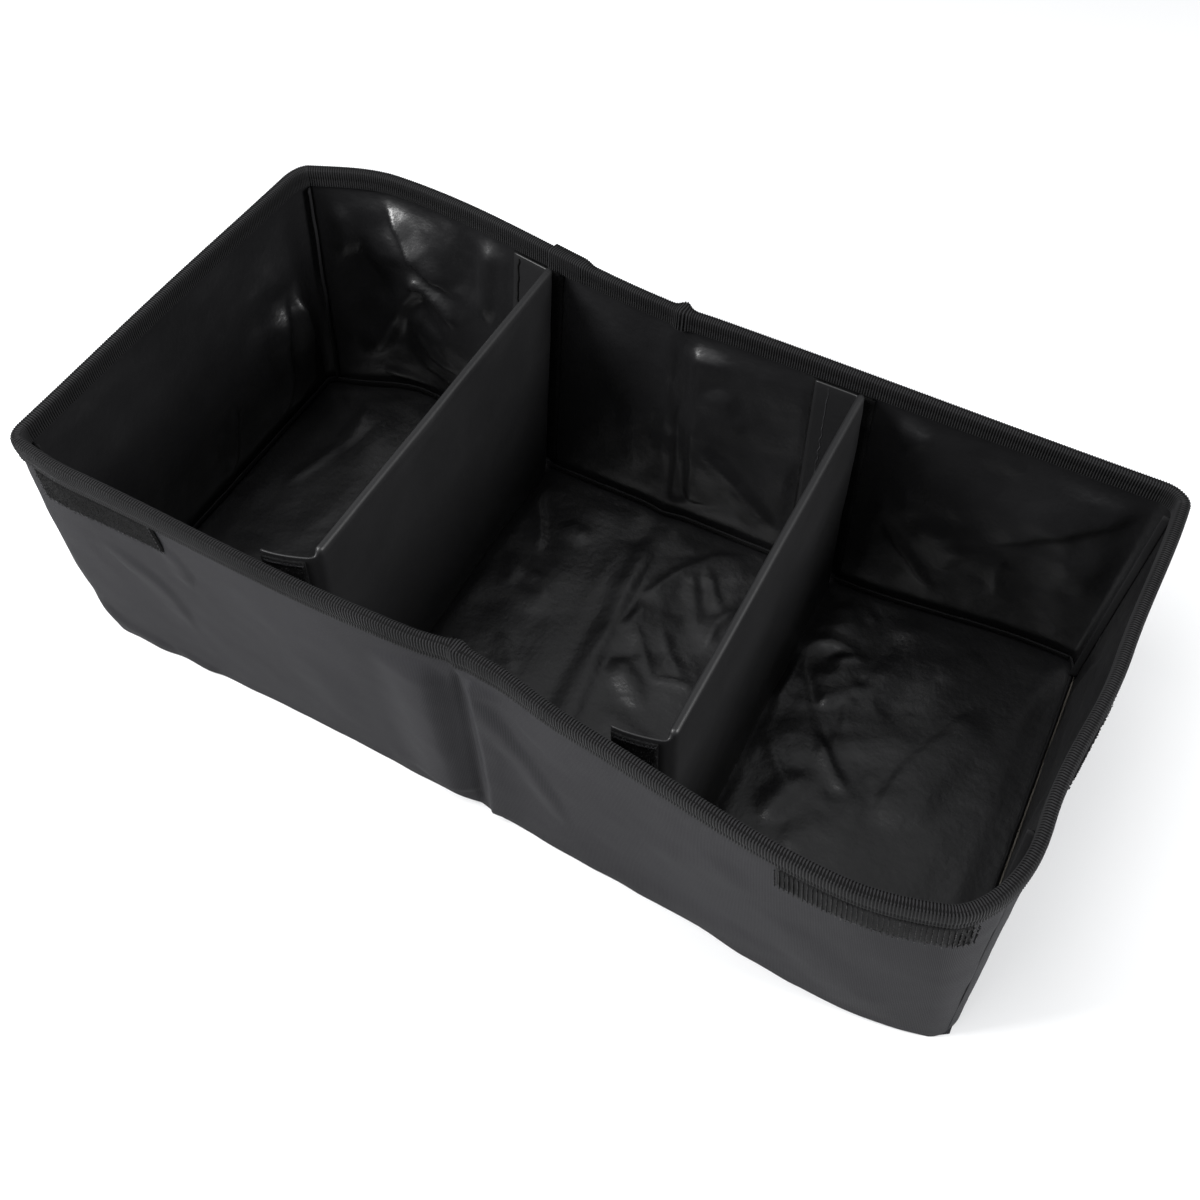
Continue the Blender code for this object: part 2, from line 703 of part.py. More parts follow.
def binding_section(station, growth):
    """Section of the rim binding: a channel over the wall, opening downwards."""
    outside = -GAP - TAPE - growth
    outer_bore = -GAP - growth
    inside = TAPE_INSIDE + growth
    inner_bore = WALL_DEPTH + GAP + growth
    top = HEIGHT + growth
    bore_top = WALL_TOP + GAP + growth
    outer_foot = HEIGHT - TAPE_OUTER_SIDE - growth / 2
    inner_foot = HEIGHT - TAPE_INNER_SIDE - growth / 2
    profile = (
        (outside, outer_foot),
        (outside, top - TAPE_EDGE_ROUND),
        (outside + TAPE_EDGE_ROUND, top),
        (inside - TAPE_EDGE_ROUND, top),
        (inside, top - TAPE_EDGE_ROUND),
        (inside, inner_foot),
        (inner_bore, inner_foot),
        (inner_bore, bore_top),
        (outer_bore, bore_top),
        (outer_bore, outer_foot),
    )
    section = []
    for inset, z in profile:
        place = plan_point(station, z, inset)
        section.append((place[0], place[1], z))
    return section


def build_rim_binding():
    """The tape round the rim. Its end laps over its start on the back wall."""
    start_x = LAP_END_X + LAP_LENGTH
    start = wall_station("back", start_x, HEIGHT)
    end = wall_station("back", LAP_END_X, HEIGHT) + COUNT
    grown = wall_station("back", start_x + LAP_RISE / 2, HEIGHT) + COUNT
    flat = wall_station("back", start_x + 3 * LAP_RISE / 2, HEIGHT) + COUNT
    whole = range(math.ceil(start + LEAST_STEP), math.ceil(flat - LEAST_STEP))
    path = [(start, 0.0)]
    path += [(station, 0.0) for station in whole]
    path += [(flat, 0.0), (grown, LAP_GROWTH)]
    lapped = range(math.ceil(grown + LEAST_STEP), math.ceil(end - LEAST_STEP))
    path += [(station, LAP_GROWTH) for station in lapped]
    path += [(end, LAP_GROWTH)]
    sections = [binding_section(station, growth) for station, growth in path]
    add_loft("rim_binding", sections, False, binding_tape())


def build_floor_seam():
    """The bound seam round the floor, leaning off the foot of the walls."""
    profile = (
        (FLOOR_SEAM_INSET, FLOOR_SEAM_FOOT),
        (FLOOR_SEAM_INSET + FLOOR_SEAM_THICKNESS, FLOOR_SEAM_FOOT),
        (FLOOR_SEAM_REACH, FLOOR_SEAM_TOP),
        (FLOOR_SEAM_INSET + FLOOR_SEAM_LEAN, FLOOR_SEAM_TOP),
    )
    sections = []
    for station in range(COUNT):
        section = []
        for inset, z in profile:
            place = plan_point(station, z, inset)
            section.append((place[0], place[1], z))
        sections.append(section)
    add_loft("floor_seam_binding", sections, True, binding_tape())


def build_corner_seams():
    """The bound seam beside each inside corner, standing off the lining."""
    seams = {
        "front_left_seam_binding": MARKS["left_end"],
        "front_right_seam_binding": MARKS["right_start"],
        "back_right_seam_binding": MARKS["right_end"],
        "back_left_seam_binding": MARKS["back_end"],
    }
    half = CORNER_SEAM_THICKNESS / 2
    for name, station in seams.items():
        sections = []
        for z in (FLOOR_SEAM_TOP + GAP, INNER_TRIM_TOP):
            normal = outward(station, z)
            along = np.array([-normal[1], normal[0]])
            root = plan_point(station, z, WALL_DEPTH + GAP)
            tip = root - normal * CORNER_SEAM_WIDTH
            corners = (root - along * half, tip - along * half, tip + along * half, root + along * half)
            sections.append([(x, y, z) for x, y in corners])
        add_loft(name, sections, False, binding_tape())


@dataclass(frozen=True)
class Divider:
    """A divider: its name, its X at the foot and how far its top leans to the left."""

    name: str
    x: float
    lean: float

    def middle(self, z):
        """X of the divider's middle plane at a height."""
        return self.x - self.lean * z / DIVIDER_TOP

    def stand_off(self, side, offset, z):
        """How far the tab stands off the wall at an offset from the divider's middle plane.

        A front tab springs off the wall towards its top, and more so towards the divider.
        """
        if side == "back":
            return 0.0
        rise = z / DIVIDER_TOP
        share = max(0.0, 1 + offset / TAB_LENGTH)
        bend = FRONT_STAND_OFF_FOOT * (1 - rise) + FRONT_STAND_OFF_TOP * rise
        return FRONT_TAB_SPRING * rise ** 2 + bend * share ** 1.5

    def tab_point(self, side, offset, z, inset):
        """Plan point of a tab at an offset from the divider's middle plane and an inset."""
        x = self.middle(z) + offset
        inward = 1 if side == "front" else -1
        return (x, wall_y(side, x, z, inset) + inward * self.stand_off(side, offset, z))

    def end(self, side, z):
        """Y of the end of the board's pocket, a bend short of the tab."""
        inward = 1 if side == "front" else -1
        return self.tab_point(side, 0.0, z, TAB_INSET + TAB_THICKNESS)[1] + inward * TAB_BEND


DIVIDERS = (
    Divider("left_divider", LEFT_DIVIDER_X, 0.0),
    Divider("right_divider", RIGHT_DIVIDER_X, RIGHT_DIVIDER_LEAN),
)


def divider_body(divider, clearance, heights):
    """Sections of the board's space in a divider, grown by a clearance."""
    half = DIVIDER_BOARD / 2 + clearance
    sections = []
    for z in heights:
        middle = divider.middle(z)
        front = divider.end("front", z) - clearance
        back = divider.end("back", z) + clearance
        corners = ((middle - half, front), (middle + half, front),
                   (middle + half, back), (middle - half, back))
        sections.append([(x, y, z) for x, y in corners])
    return sections


def tab_layer(divider, side, offsets, insets, span):
    """Sections of a layer of a tab, from its free edge towards the divider.

    Each section runs up the wall side and comes down the room side.
    """
    sections = []
    for offset in offsets:
        section = []
        for inset in insets:
            face = []
            for z in np.linspace(span[0], span[1], TAB_ROWS + 1):
                x, y = divider.tab_point(side, offset, z, inset)
                face.append((x, y, z))
            section += face if inset == insets[0] else face[::-1]
        sections.append(section)
    return sections


def tab_form(divider, side, span):
    """A tab of a divider's cover, with the bend that runs into the cover's end."""
    offsets = (-TAB_LENGTH, -TAB_LENGTH * 2 / 3, -TAB_LENGTH / 3, -DIVIDER_BOARD / 2, DIVIDER_BOARD / 2)
    insets = (TAB_INSET, TAB_INSET + TAB_THICKNESS)
    sections = tab_layer(divider, side, offsets, insets, span)
    for section in sections[-2:]:
        for place in range(TAB_ROWS + 1, len(section)):
            x, y, z = section[place]
            section[place] = (x, divider.end(side, z), z)
    return add_loft(f"{divider.name}_{side}_tab_form", sections, False, coated_lining())


def add_modifier_boolean(item, other, operation):
    """Cut or join another object into an item, and keep the other out of the model."""
    modifier = item.modifiers.new(operation.lower(), "BOOLEAN")
    modifier.operation = operation
    modifier.solver = "EXACT"
    modifier.object = other
    other.hide_render = True
    other.display_type = "WIRE"


def build_divider(divider):
    """A divider: its board, the cover that runs out into two tabs, and the hook tapes."""
    board_top = DIVIDER_TOP - DIVIDER_COVER - GAP
    heights = (DIVIDER_FOOT, board_top)
    add_loft(f"{divider.name}_board", divider_body(divider, 0.0, heights), False, stiffener())

    cover_sections = divider_body(divider, GAP + DIVIDER_COVER, (DIVIDER_FOOT, DIVIDER_TOP))
    cover = add_loft(f"{divider.name}_cover", cover_sections, False, coated_lining())
    tab_span = (TAB_FOOT, DIVIDER_TOP - TAB_TOP_DROP)
    for side in ("front", "back"):
        add_modifier_boolean(cover, tab_form(divider, side, tab_span), "UNION")
    pocket_heights = (DIVIDER_FOOT - DIVIDER_FOOT_CLEARANCE, board_top + GAP)
    pocket = divider_body(divider, GAP, pocket_heights)
    pocket_form = add_loft(f"{divider.name}_pocket_form", pocket, False, stiffener())
    add_modifier_boolean(cover, pocket_form, "DIFFERENCE")

    offsets = (-TAB_LENGTH, -TAB_LENGTH * 2 / 3, -TAB_LENGTH / 3, -HOOK_SET_BACK)
    insets = (TAB_INSET - GAP - HOOK_TAPE, TAB_INSET - GAP)
    hook_span = (TAB_FOOT, INNER_TRIM_TOP - GAP)
    for side in ("front", "back"):
        sections = tab_layer(divider, side, offsets, insets, hook_span)
        add_loft(f"{divider.name}_{side}_hook_tape", sections, False, hook_tape())


def build_wall_loops(divider):
    """The loop strips sewn to the lining where a divider's tabs grip."""
    run = TAB_LENGTH + DIVIDER_HALF + WALL_LOOP_OVERHANG
    levels = np.linspace(TAB_FOOT - WALL_LOOP_OVERHANG, INNER_TRIM_TOP - GAP, TAB_ROWS + 1)
    for side in ("front", "back"):
        grids = []
        for inset in (LOOP_INSET, LOOP_INSET + WALL_LOOP):
            grid = []
            for z in levels:
                places = [divider.middle(z) + DIVIDER_HALF - run * step / 4 for step in range(5)]
                grid.append([(x, wall_y(side, x, z, inset), z) for x in places])
            grids.append(grid)
        add_sheet(f"{divider.name}_{side}_wall_loop", grids[0], grids[1], loop_pile())


def add_outer_strip(name, side, span, material):
    """A hook-and-loop strip sewn to the outside of a wall under the rim."""
    start = wall_station(side, span[0], STRIP_TOP)
    end = wall_station(side, span[1], STRIP_TOP)
    inner = range(math.ceil(start + LEAST_STEP), math.ceil(end - LEAST_STEP))
    stations = [start, *inner, end]
    grids = []
    for inset in (-GAP - STRIP_THICKNESS, -GAP):
        grid = []
        for z in (STRIP_TOP - STRIP_HEIGHT, STRIP_TOP):
            places = [plan_point(station, z, inset) for station in stations]
            grid.append([(x, y, z) for x, y in places])
        grids.append(grid)
    add_sheet(name, grids[0], grids[1], material)


def build_outer_strips():
    """The strips outside: two at the ends of the front wall and one on the right end."""
    add_outer_strip("front_left_strip", "front", LEFT_STRIP_X, loop_pile())
    add_outer_strip("front_right_strip", "front", RIGHT_STRIP_X, hook_tape())
    add_outer_strip("right_end_strip", "right", END_STRIP_Y, loop_pile())


def main():
    """Build the whole organizer."""
    clear_scene()
    build_outer_panels()
    build_wall_boards()
    build_floor_boards()
    build_wall_linings()
    build_floor_lining()
    build_rim_binding()
    build_floor_seam()
    build_corner_seams()
    for divider in DIVIDERS:
        build_divider(divider)
        build_wall_loops(divider)
    build_outer_strips()


main()
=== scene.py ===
"""Dressed model and studio of a fold-flat fabric car organizer.

The walls are one ruled surface, from the outline of the base up to the outline of the rim. Outer
fabric, lining, rim binding, seam bindings, strips and divider tabs are all laid on that surface,
so that they nest as sewn layers do. Sizes are in metres. Only places on a sheet, and the folds,
zones and sways laid there, are in millimetres, which MM turns into metres.
"""

import logging
import math
from dataclasses import dataclass
from enum import Enum
from typing import Callable, Sequence

import bpy
import numpy as np
from mathutils import Matrix, Vector


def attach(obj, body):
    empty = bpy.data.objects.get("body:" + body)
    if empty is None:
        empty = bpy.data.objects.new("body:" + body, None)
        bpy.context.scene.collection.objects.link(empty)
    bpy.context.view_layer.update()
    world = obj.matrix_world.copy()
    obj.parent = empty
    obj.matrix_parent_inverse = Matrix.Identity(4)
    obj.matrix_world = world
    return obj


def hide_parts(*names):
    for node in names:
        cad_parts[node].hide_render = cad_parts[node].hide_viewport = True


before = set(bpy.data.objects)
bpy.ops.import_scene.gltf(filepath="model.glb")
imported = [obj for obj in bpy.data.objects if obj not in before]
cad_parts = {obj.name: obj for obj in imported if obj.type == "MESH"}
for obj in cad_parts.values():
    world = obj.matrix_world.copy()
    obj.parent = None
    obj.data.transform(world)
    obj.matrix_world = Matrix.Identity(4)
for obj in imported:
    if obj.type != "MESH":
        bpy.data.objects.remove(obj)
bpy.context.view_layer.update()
LOG = logging.getLogger("organizer")
BODY = "root"
# A millimetre, and the clearance between two layers, in metres.
MM = 0.001
GAP = 0.0003

Array = np.ndarray
Place = tuple[float, float]
Triple = tuple[float, float, float]
Lift = Callable[[Array, Array], Array]
Material = bpy.types.Material
Piece = bpy.types.Object
Socket = bpy.types.NodeSocket


class Side(Enum):
    """The four walls, anticlockwise from the front."""

    FRONT = "front"
    RIGHT = "right"
    BACK = "back"
    LEFT = "left"


class Crest(Enum):
    """How the crest of a fold is shaped."""

    SOFT = "soft"
    CRISP = "crisp"


# ---------------------------------------------------------------- finishes


class Signal:
    """A number socket of a shader tree that Python's operators work on."""

    def __init__(self, tree: "ShaderTree", socket: Socket) -> None:
        """Wrap a socket of a tree."""
        self.tree = tree
        self.socket = socket

    def _join(self, operation: str, first: object, second: object = None) -> "Signal":
        """Add a Math node on one or two values.

        Args:
            operation: Name of the Math node's operation.
            first: A signal or a number.
            second: A signal or a number, or None where the operation takes one value.

        Returns:
            The node's result.
        """
        values = {0: first} if second is None else {0: first, 1: second}
        node = self.tree.node("ShaderNodeMath", {"operation": operation}, values)
        return Signal(self.tree, node.outputs[0])

    def __add__(self, other: object) -> "Signal":
        """Add."""
        return self._join("ADD", self, other)

    def __sub__(self, other: object) -> "Signal":
        """Subtract."""
        return self._join("SUBTRACT", self, other)

    def __mul__(self, other: object) -> "Signal":
        """Multiply."""
        return self._join("MULTIPLY", self, other)

    def sine(self) -> "Signal":
        """Sine of the signal."""
        return self._join("SINE", self)

    def clamped(self) -> "Signal":
        """The signal kept from 0 to 1."""
        return self._join("MAXIMUM", self._join("MINIMUM", self, 1.0), 0.0)


class NodeTree:
    """A node tree of any kind, with one method that adds any node."""

    tree: bpy.types.NodeTree

    def node(self, kind: str, settings: dict | None = None, values: dict | None = None) -> bpy.types.Node:
        """Add a node.

        Args:
            kind: The node's type.
            settings: Its properties, which are set first.
            values: Values or links of its inputs, by name or index.

        Returns:
            The node.
        """
        made = self.tree.nodes.new(kind)
        for name, value in (settings or {}).items():
            setattr(made, name, value)
        for key, value in (values or {}).items():
            self.feed(made.inputs[key], value)
        return made

    def feed(self, entry: Socket, value: object) -> None:
        """Link a signal or a socket to an input, or set its value."""
        if isinstance(value, Signal):
            value = value.socket
        if isinstance(value, Socket):
            self.tree.links.new(value, entry)
        else:
            entry.default_value = value


class ShaderTree(NodeTree):
    """A material's node tree."""

    def __init__(self, name: str) -> None:
        """Start a material with a Principled shader."""
        self.material = bpy.data.materials.new(name)
        self.material.use_nodes = True
        self.tree = self.material.node_tree
        self.shader = self.tree.nodes["Principled BSDF"]

    def cloth_place(self) -> Socket:
        """The piece's own UV map, in metres along and up the cloth."""
        return self.node("ShaderNodeUVMap", {"uv_map": "UVMap"}).outputs["UV"]

    def object_place(self) -> Socket:
        """Object coordinates."""
        return self.node("ShaderNodeTexCoord").outputs["Object"]

    def split(self, place: Socket) -> tuple[Signal, Signal, Signal]:
        """The three parts of a vector."""
        parts = self.node("ShaderNodeSeparateXYZ", None, {0: place})
        return tuple(Signal(self, parts.outputs[index]) for index in range(3))

    def noise(self, place: object, scale: float, detail: float, stretch: Triple = (1.0, 1.0, 1.0)) -> Signal:
        """Noise at a place.

        Args:
            place: Vector socket.
            scale: Grains per metre.
            detail: Octaves.
            stretch: Factors on the three axes.

        Returns:
            The noise, about 0 to 1.
        """
        mapped = self.node("ShaderNodeMapping", None, {"Vector": place, "Scale": stretch})
        values = {"Vector": mapped.outputs[0], "Scale": scale, "Detail": detail}
        made = self.node("ShaderNodeTexNoise", None, values)
        return Signal(self, made.outputs["Fac"])

    def ramp(self, signal: Signal, low: float, high: float) -> Signal:
        """Smooth step of a signal from low to high."""
        settings = {"interpolation_type": "SMOOTHSTEP"}
        made = self.node("ShaderNodeMapRange", settings, {"Value": signal, "From Min": low, "From Max": high})
        return Signal(self, made.outputs["Result"])

    def colours(self, share: Signal, low: Sequence[float], high: Sequence[float]) -> Socket:
        """Mix of two colours."""
        values = {0: share, 6: (*low, 1.0), 7: (*high, 1.0)}
        return self.node("ShaderNodeMix", {"data_type": "RGBA"}, values).outputs[2]

    def bump(self, height: Signal, distance: float, below: Socket | None = None) -> Socket:
        """Normal of a height field.

        Args:
            height: The height, about 0 to 1.
            distance: Height of 1 in metres.
            below: Normal that this one is laid on.

        Returns:
            The normal's socket.
        """
        values = {"Height": height, "Distance": distance, "Strength": 1.0}
        if below is not None:
            values["Normal"] = below
        return self.node("ShaderNodeBump", None, values).outputs["Normal"]

    def dress(self, **values: object) -> None:
        """Feed inputs of the Principled shader, with _ for a space in a name."""
        for key, value in values.items():
            self.feed(self.shader.inputs[key.replace("_", " ")], value)


# Shine and fuzz of the woven cloths and tapes.
CLOTH_GLOSS = 0.07
CLOTH_SHEEN = 0.01


@dataclass(frozen=True)
class WovenFabric:
    """Matt outer fabric with fine ribs up the wall."""

    dark: Triple = (0.012, 0.012, 0.0131)
    light: Triple = (0.036, 0.0356, 0.0391)
    rib_pitch: float = 0.00072
    pick_pitch: float = 0.00050
    relief: float = 0.00012

    def material(self) -> Material:
        """Make the material."""
        tree = ShaderTree("woven_outer_fabric")
        place = tree.cloth_place()
        drift = tree.noise(place, 60.0, 2.0)
        along, up, _ = tree.split(place)
        turn = 2 * math.pi
        ribs = (along * (turn / self.rib_pitch) + drift * 2.0).sine() * 0.5 + 0.5
        picks = (up * (turn / self.pick_pitch) + along * (math.pi / self.rib_pitch)).sine() * 0.5 + 0.5
        fluff = tree.noise(place, 900.0, 3.0)
        cloud = tree.noise(place, 14.0, 3.0)
        weave = ribs * 0.62 + picks * 0.18 + fluff * 0.35
        share = (weave * 0.75 + cloud * 0.5 - 0.18).clamped()
        tree.dress(
            Base_Color=tree.colours(share, self.dark, self.light),
            Roughness=tree.ramp(weave, 1.3, 0.0) * 0.18 + 0.66,
            Normal=tree.bump(weave, self.relief),
            Specular_IOR_Level=CLOTH_GLOSS,
            Sheen_Weight=CLOTH_SHEEN,
            Sheen_Roughness=0.42,
        )
        return tree.material


@dataclass(frozen=True)
class CoatedCloth:
    """Cloth with a smooth satin coating, as on the lining and the dividers."""

    name: str
    dark: Triple
    light: Triple
    roughness: float
    pucker: float
    grain: float = 0.00004
    gloss: float = 0.85
    coat: float = 0.12
    coat_roughness: float = 0.30

    def material(self) -> Material:
        """Make the material."""
        tree = ShaderTree(self.name)
        place = tree.object_place()
        cloud = tree.noise(place, 18.0, 4.0)
        pucker = tree.noise(place, 95.0, 3.0)
        crinkle = tree.noise(place, 330.0, 2.0)
        grain = tree.noise(place, 2600.0, 1.0)
        soft = tree.bump(pucker + crinkle * 0.30, self.pucker)
        tree.dress(
            Base_Color=tree.colours((cloud * 0.8 + grain * 0.4 - 0.1).clamped(), self.dark, self.light),
            Roughness=cloud * 0.16 + crinkle * 0.06 + (self.roughness - 0.11),
            Normal=tree.bump(grain, self.grain, soft),
            Specular_IOR_Level=self.gloss,
            Coat_Weight=self.coat,
            Coat_Roughness=self.coat_roughness,
        )
        return tree.material


@dataclass(frozen=True)
class TapeCloth:
    """Ribbed woven tape."""

    name: str
    dark: Triple
    light: Triple
    relief: float = 0.00008

    def material(self) -> Material:
        """Make the material."""
        tree = ShaderTree(self.name)
        place = tree.object_place()
        fibre = tree.noise(place, 2400.0, 2.0)
        wear = tree.noise(place, 45.0, 3.0)
        tree.dress(
            Base_Color=tree.colours((fibre * 0.7 + wear * 0.5 - 0.1).clamped(), self.dark, self.light),
            Roughness=fibre * 0.2 + 0.60,
            Normal=tree.bump(fibre, self.relief),
            Specular_IOR_Level=CLOTH_GLOSS,
            Sheen_Weight=CLOTH_SHEEN,
            Sheen_Roughness=0.4,
        )
        return tree.material


@dataclass(frozen=True)
class GripCloth:
    """The woven ground and the hooks or loops of hook-and-loop tape."""

    name: str
    dark: Triple
    light: Triple
    grain: float
    depth: float
    roughness: float = 0.7
    gloss: float = 0.10

    def material(self) -> Material:
        """Make the material."""
        tree = ShaderTree(self.name)
        place = tree.object_place()
        speck = tree.noise(place, self.grain, 2.0)
        patch = tree.noise(place, 120.0, 2.0)
        share = tree.ramp(speck + patch * 0.4, 0.62, 0.86)
        tree.dress(
            Base_Color=tree.colours(share, self.dark, self.light),
            Roughness=speck * 0.2 + (self.roughness - 0.1),
            Normal=tree.bump(speck, self.depth),
            Specular_IOR_Level=self.gloss,
        )
        return tree.material


@dataclass(frozen=True)
class FibreBoard:
    """Pressed board inside the walls."""

    dark: Triple = (0.22, 0.20, 0.17)
    light: Triple = (0.34, 0.32, 0.28)
    relief: float = 0.00006

    def material(self) -> Material:
        """Make the material."""
        tree = ShaderTree("stiffener_board")
        place = tree.object_place()
        fibre = tree.noise(place, 700.0, 4.0, (1.0, 1.0, 0.3))
        tree.dress(
            Base_Color=tree.colours(fibre, self.dark, self.light),
            Roughness=fibre * 0.2 + 0.7,
            Normal=tree.bump(fibre, self.relief),
        )
        return tree.material


@dataclass(frozen=True)
class StudioGround:
    """Pale seamless ground."""

    dark: Triple = (0.90, 0.905, 0.91)
    light: Triple = (0.93, 0.935, 0.94)

    def material(self) -> Material:
        """Make the material."""
        tree = ShaderTree("studio_ground")
        cloud = tree.noise(tree.object_place(), 3.0, 2.0)
        tree.dress(
            Base_Color=tree.colours(cloud, self.dark, self.light),
            Roughness=cloud * 0.1 + 0.7,
            Specular_IOR_Level=0.2,
        )
        return tree.material


def grey(level: float, blue: float) -> Triple:
    """A grey with a level of blue of its own."""
    return level, level, blue


class Finishes:
    """Every material of the part."""

    def __init__(self) -> None:
        """Make the materials."""
        def coated(name: str, dark: Triple, light: Triple, *looks: float) -> Material:
            """Make a coated cloth."""
            return CoatedCloth(name, dark, light, *looks).material()

        def tape(name: str, dark: Triple, light: Triple) -> Material:
            """Make a ribbed tape."""
            return TapeCloth(name, dark, light).material()

        def grip(name: str, dark: Triple, light: Triple, *looks: float) -> Material:
            """Make a hook-and-loop finish or a thread."""
            return GripCloth(name, dark, light, *looks).material()

        self.outer_fabric = WovenFabric().material()
        self.coated_lining = coated("coated_lining", grey(0.005, 0.0054), grey(0.013, 0.014), 0.33, 0.00045)
        self.divider_fabric = coated(
            "divider_fabric", grey(0.006, 0.0065), grey(0.012, 0.0129), 0.52, 0.00016, 0.00004, 0.45, 0.15
        )
        # The rim tape's body shows only between its ribs. It is painted far darker than the ribs of the same
        # cloth, as painted shade in the grooves between them.
        self.binding_tape = tape("binding_tape", grey(0.002, 0.0021), grey(0.006, 0.0062))
        self.tape_rib = tape("binding_tape_rib", grey(0.014, 0.0146), grey(0.034, 0.0354))
        self.seam_tape = tape("seam_tape", grey(0.009, 0.0095), grey(0.024, 0.025))
        self.hook_tape = grip("hook_tape", grey(0.003, 0.0032), grey(0.012, 0.0125), 1500.0, 0.0002)
        self.loop_pile = grip("loop_pile", grey(0.002, 0.0021), grey(0.009, 0.0094), 1900.0, 0.0003, 0.9)
        self.bristle = grip("nylon_bristle", grey(0.007, 0.0072), grey(0.036, 0.0372), 900.0, 0.00002, 0.42)
        self.pile_fibre = grip("pile_fibre", grey(0.004, 0.0042), grey(0.018, 0.0187), 900.0, 0.00002, 0.6)
        self.thread = grip("sewing_thread", grey(0.030, 0.032), grey(0.085, 0.090), 3000.0, 0.00004, 0.5)
        self.dark_thread = grip("dark_thread", grey(0.004, 0.004), grey(0.010, 0.010), 3000.0, 0.00004, 0.6)
        self.stiffener_board = FibreBoard().material()


# ---------------------------------------------------------------- mesh helpers


def dress(piece: Piece, replaced: Sequence[str]) -> Piece:
    """Ride a piece on its body and hide what it stands for.

    Args:
        piece: The finished piece.
        replaced: CAD nodes that the piece stands for.

    Returns:
        The piece.
    """
    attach(piece, BODY)
    if replaced:
        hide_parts(*replaced)
    LOG.info("%s: %d vertices", piece.name, len(piece.data.vertices))
    return piece


def linked(name: str, data: bpy.types.ID) -> Piece:
    """Make an object of some data and link it to the scene."""
    made = bpy.data.objects.new(name, data)
    bpy.context.scene.collection.objects.link(made)
    return made


def guide_of(points: Array, edges: list, faces: list) -> Piece:
    """A plain mesh object for a Geometry Nodes tool to work on."""
    mesh = bpy.data.meshes.new("guide")
    mesh.from_pydata(points.tolist(), edges, faces)
    return linked("guide", mesh)


def make_piece(name: str, points: Array, faces: Array, uv: Array | None, material: Material) -> Piece:
    """Make a smooth mesh object from four-sided faces.

    Args:
        name: Name of the piece.
        points: Points, one row each.
        faces: Four point numbers a row.
        uv: Place on the cloth of each point, in metres.
        material: Its material.

    Returns:
        The object, linked to the scene.
    """
    mesh = bpy.data.meshes.new(name)
    mesh.vertices.add(len(points))
    mesh.vertices.foreach_set("co", np.asarray(points, np.float32).ravel())
    mesh.loops.add(faces.size)
    mesh.loops.foreach_set("vertex_index", np.asarray(faces, np.int32).ravel())
    mesh.polygons.add(len(faces))
    mesh.polygons.foreach_set("loop_start", np.arange(0, faces.size, 4, dtype=np.int32))
    mesh.update(calc_edges=True)
    if uv is not None:
        layer = mesh.uv_layers.new(name="UVMap")
        layer.data.foreach_set("uv", np.asarray(uv, np.float32)[faces.ravel()].ravel())
    mesh.materials.append(material)
    mesh.shade_smooth()
    return linked(name, mesh)


def grid_faces(rows: int, columns: int, wrapped: bool = False) -> Array:
    """Faces of a grid of points, turned towards the viewer who sees columns run right and rows up."""
    last = columns if wrapped else columns - 1
    row, column = np.meshgrid(np.arange(rows - 1), np.arange(last), indexing="ij")
    near = row * columns + column
    right = row * columns + (column + 1) % columns
    return np.stack([near, right, right + columns, near + columns], -1).reshape(-1, 4)


def border_of(rows: int, columns: int) -> Array:
    """Border points of a grid, round to the first again, in the sense of its faces."""
    low = np.arange(columns)
    high = (rows - 1) * columns + np.arange(columns)[::-1]
    right = np.arange(1, rows) * columns + columns - 1
    left = np.arange(rows - 2, -1, -1) * columns
    return np.concatenate([low, right, high[1:], left])


def thin_sheet(name: str, outer: Array, inner: Array, uv: Array, material: Material) -> Piece:
    """Make a closed thin sheet between two grids of points.

    Args:
        name: Name of the piece.
        outer: Rows and columns of the face that looks outwards.
        inner: The same for the other face.
        uv: Place on the cloth of each grid point.
        material: Its material.

    Returns:
        The sheet.
    """
    rows, columns = outer.shape[:2]
    count = rows * columns
    faces = grid_faces(rows, columns)
    run = border_of(rows, columns)
    start, end = run[:-1], run[1:]
    sides = np.stack([end, start, start + count, end + count], -1)
    every = np.concatenate([faces, faces[:, ::-1] + count, sides])
    points = np.concatenate([outer.reshape(-1, 3), inner.reshape(-1, 3)])
    return make_piece(name, points, every, np.tile(uv.reshape(-1, 2), (2, 1)), material)


def lofted(name: str, sections: Array, material: Material, wrapped: bool) -> Piece:
    """Make a closed form through sections, as a ring or with its two ends filled.

    Args:
        name: Name of the piece.
        sections: Sections, points and coordinates.
        material: Its material.
        wrapped: Whether the last section joins the first.

    Returns:
        The form, with its faces turned outwards.
    """
    count, size = sections.shape[:2]
    turned = np.swapaxes(sections, 0, 1)
    faces = grid_faces(size + 1, count, wrapped)
    faces = (faces // count % size) * count + faces % count
    if not wrapped:
        strip = np.arange(size // 2)
        low, high = strip[:-1], strip[1:]
        end = np.stack([low, high, size - 1 - high, size - 1 - low], -1) * count
        faces = np.concatenate([faces, end, end[:, ::-1] + count - 1])
    piece = make_piece(name, turned.reshape(-1, 3), faces, None, material)
    turn_outwards(piece)
    return piece


def turn_outwards(piece: Piece) -> None:
    """Turn a closed form's faces outwards, by the sign of its volume."""
    mesh = piece.data
    mesh.calc_loop_triangles()
    corners = np.empty(len(mesh.loop_triangles) * 3, np.int32)
    mesh.loop_triangles.foreach_get("vertices", corners)
    points = np.empty(len(mesh.vertices) * 3, np.float32)
    mesh.vertices.foreach_get("co", points)
    a, b, c = np.moveaxis(points.reshape(-1, 3)[corners.reshape(-1, 3)].astype(float), 1, 0)
    if np.einsum("ij,ij->", a, np.cross(b, c)) < 0:
        mesh.flip_normals()


# ---------------------------------------------------------------- geometry nodes


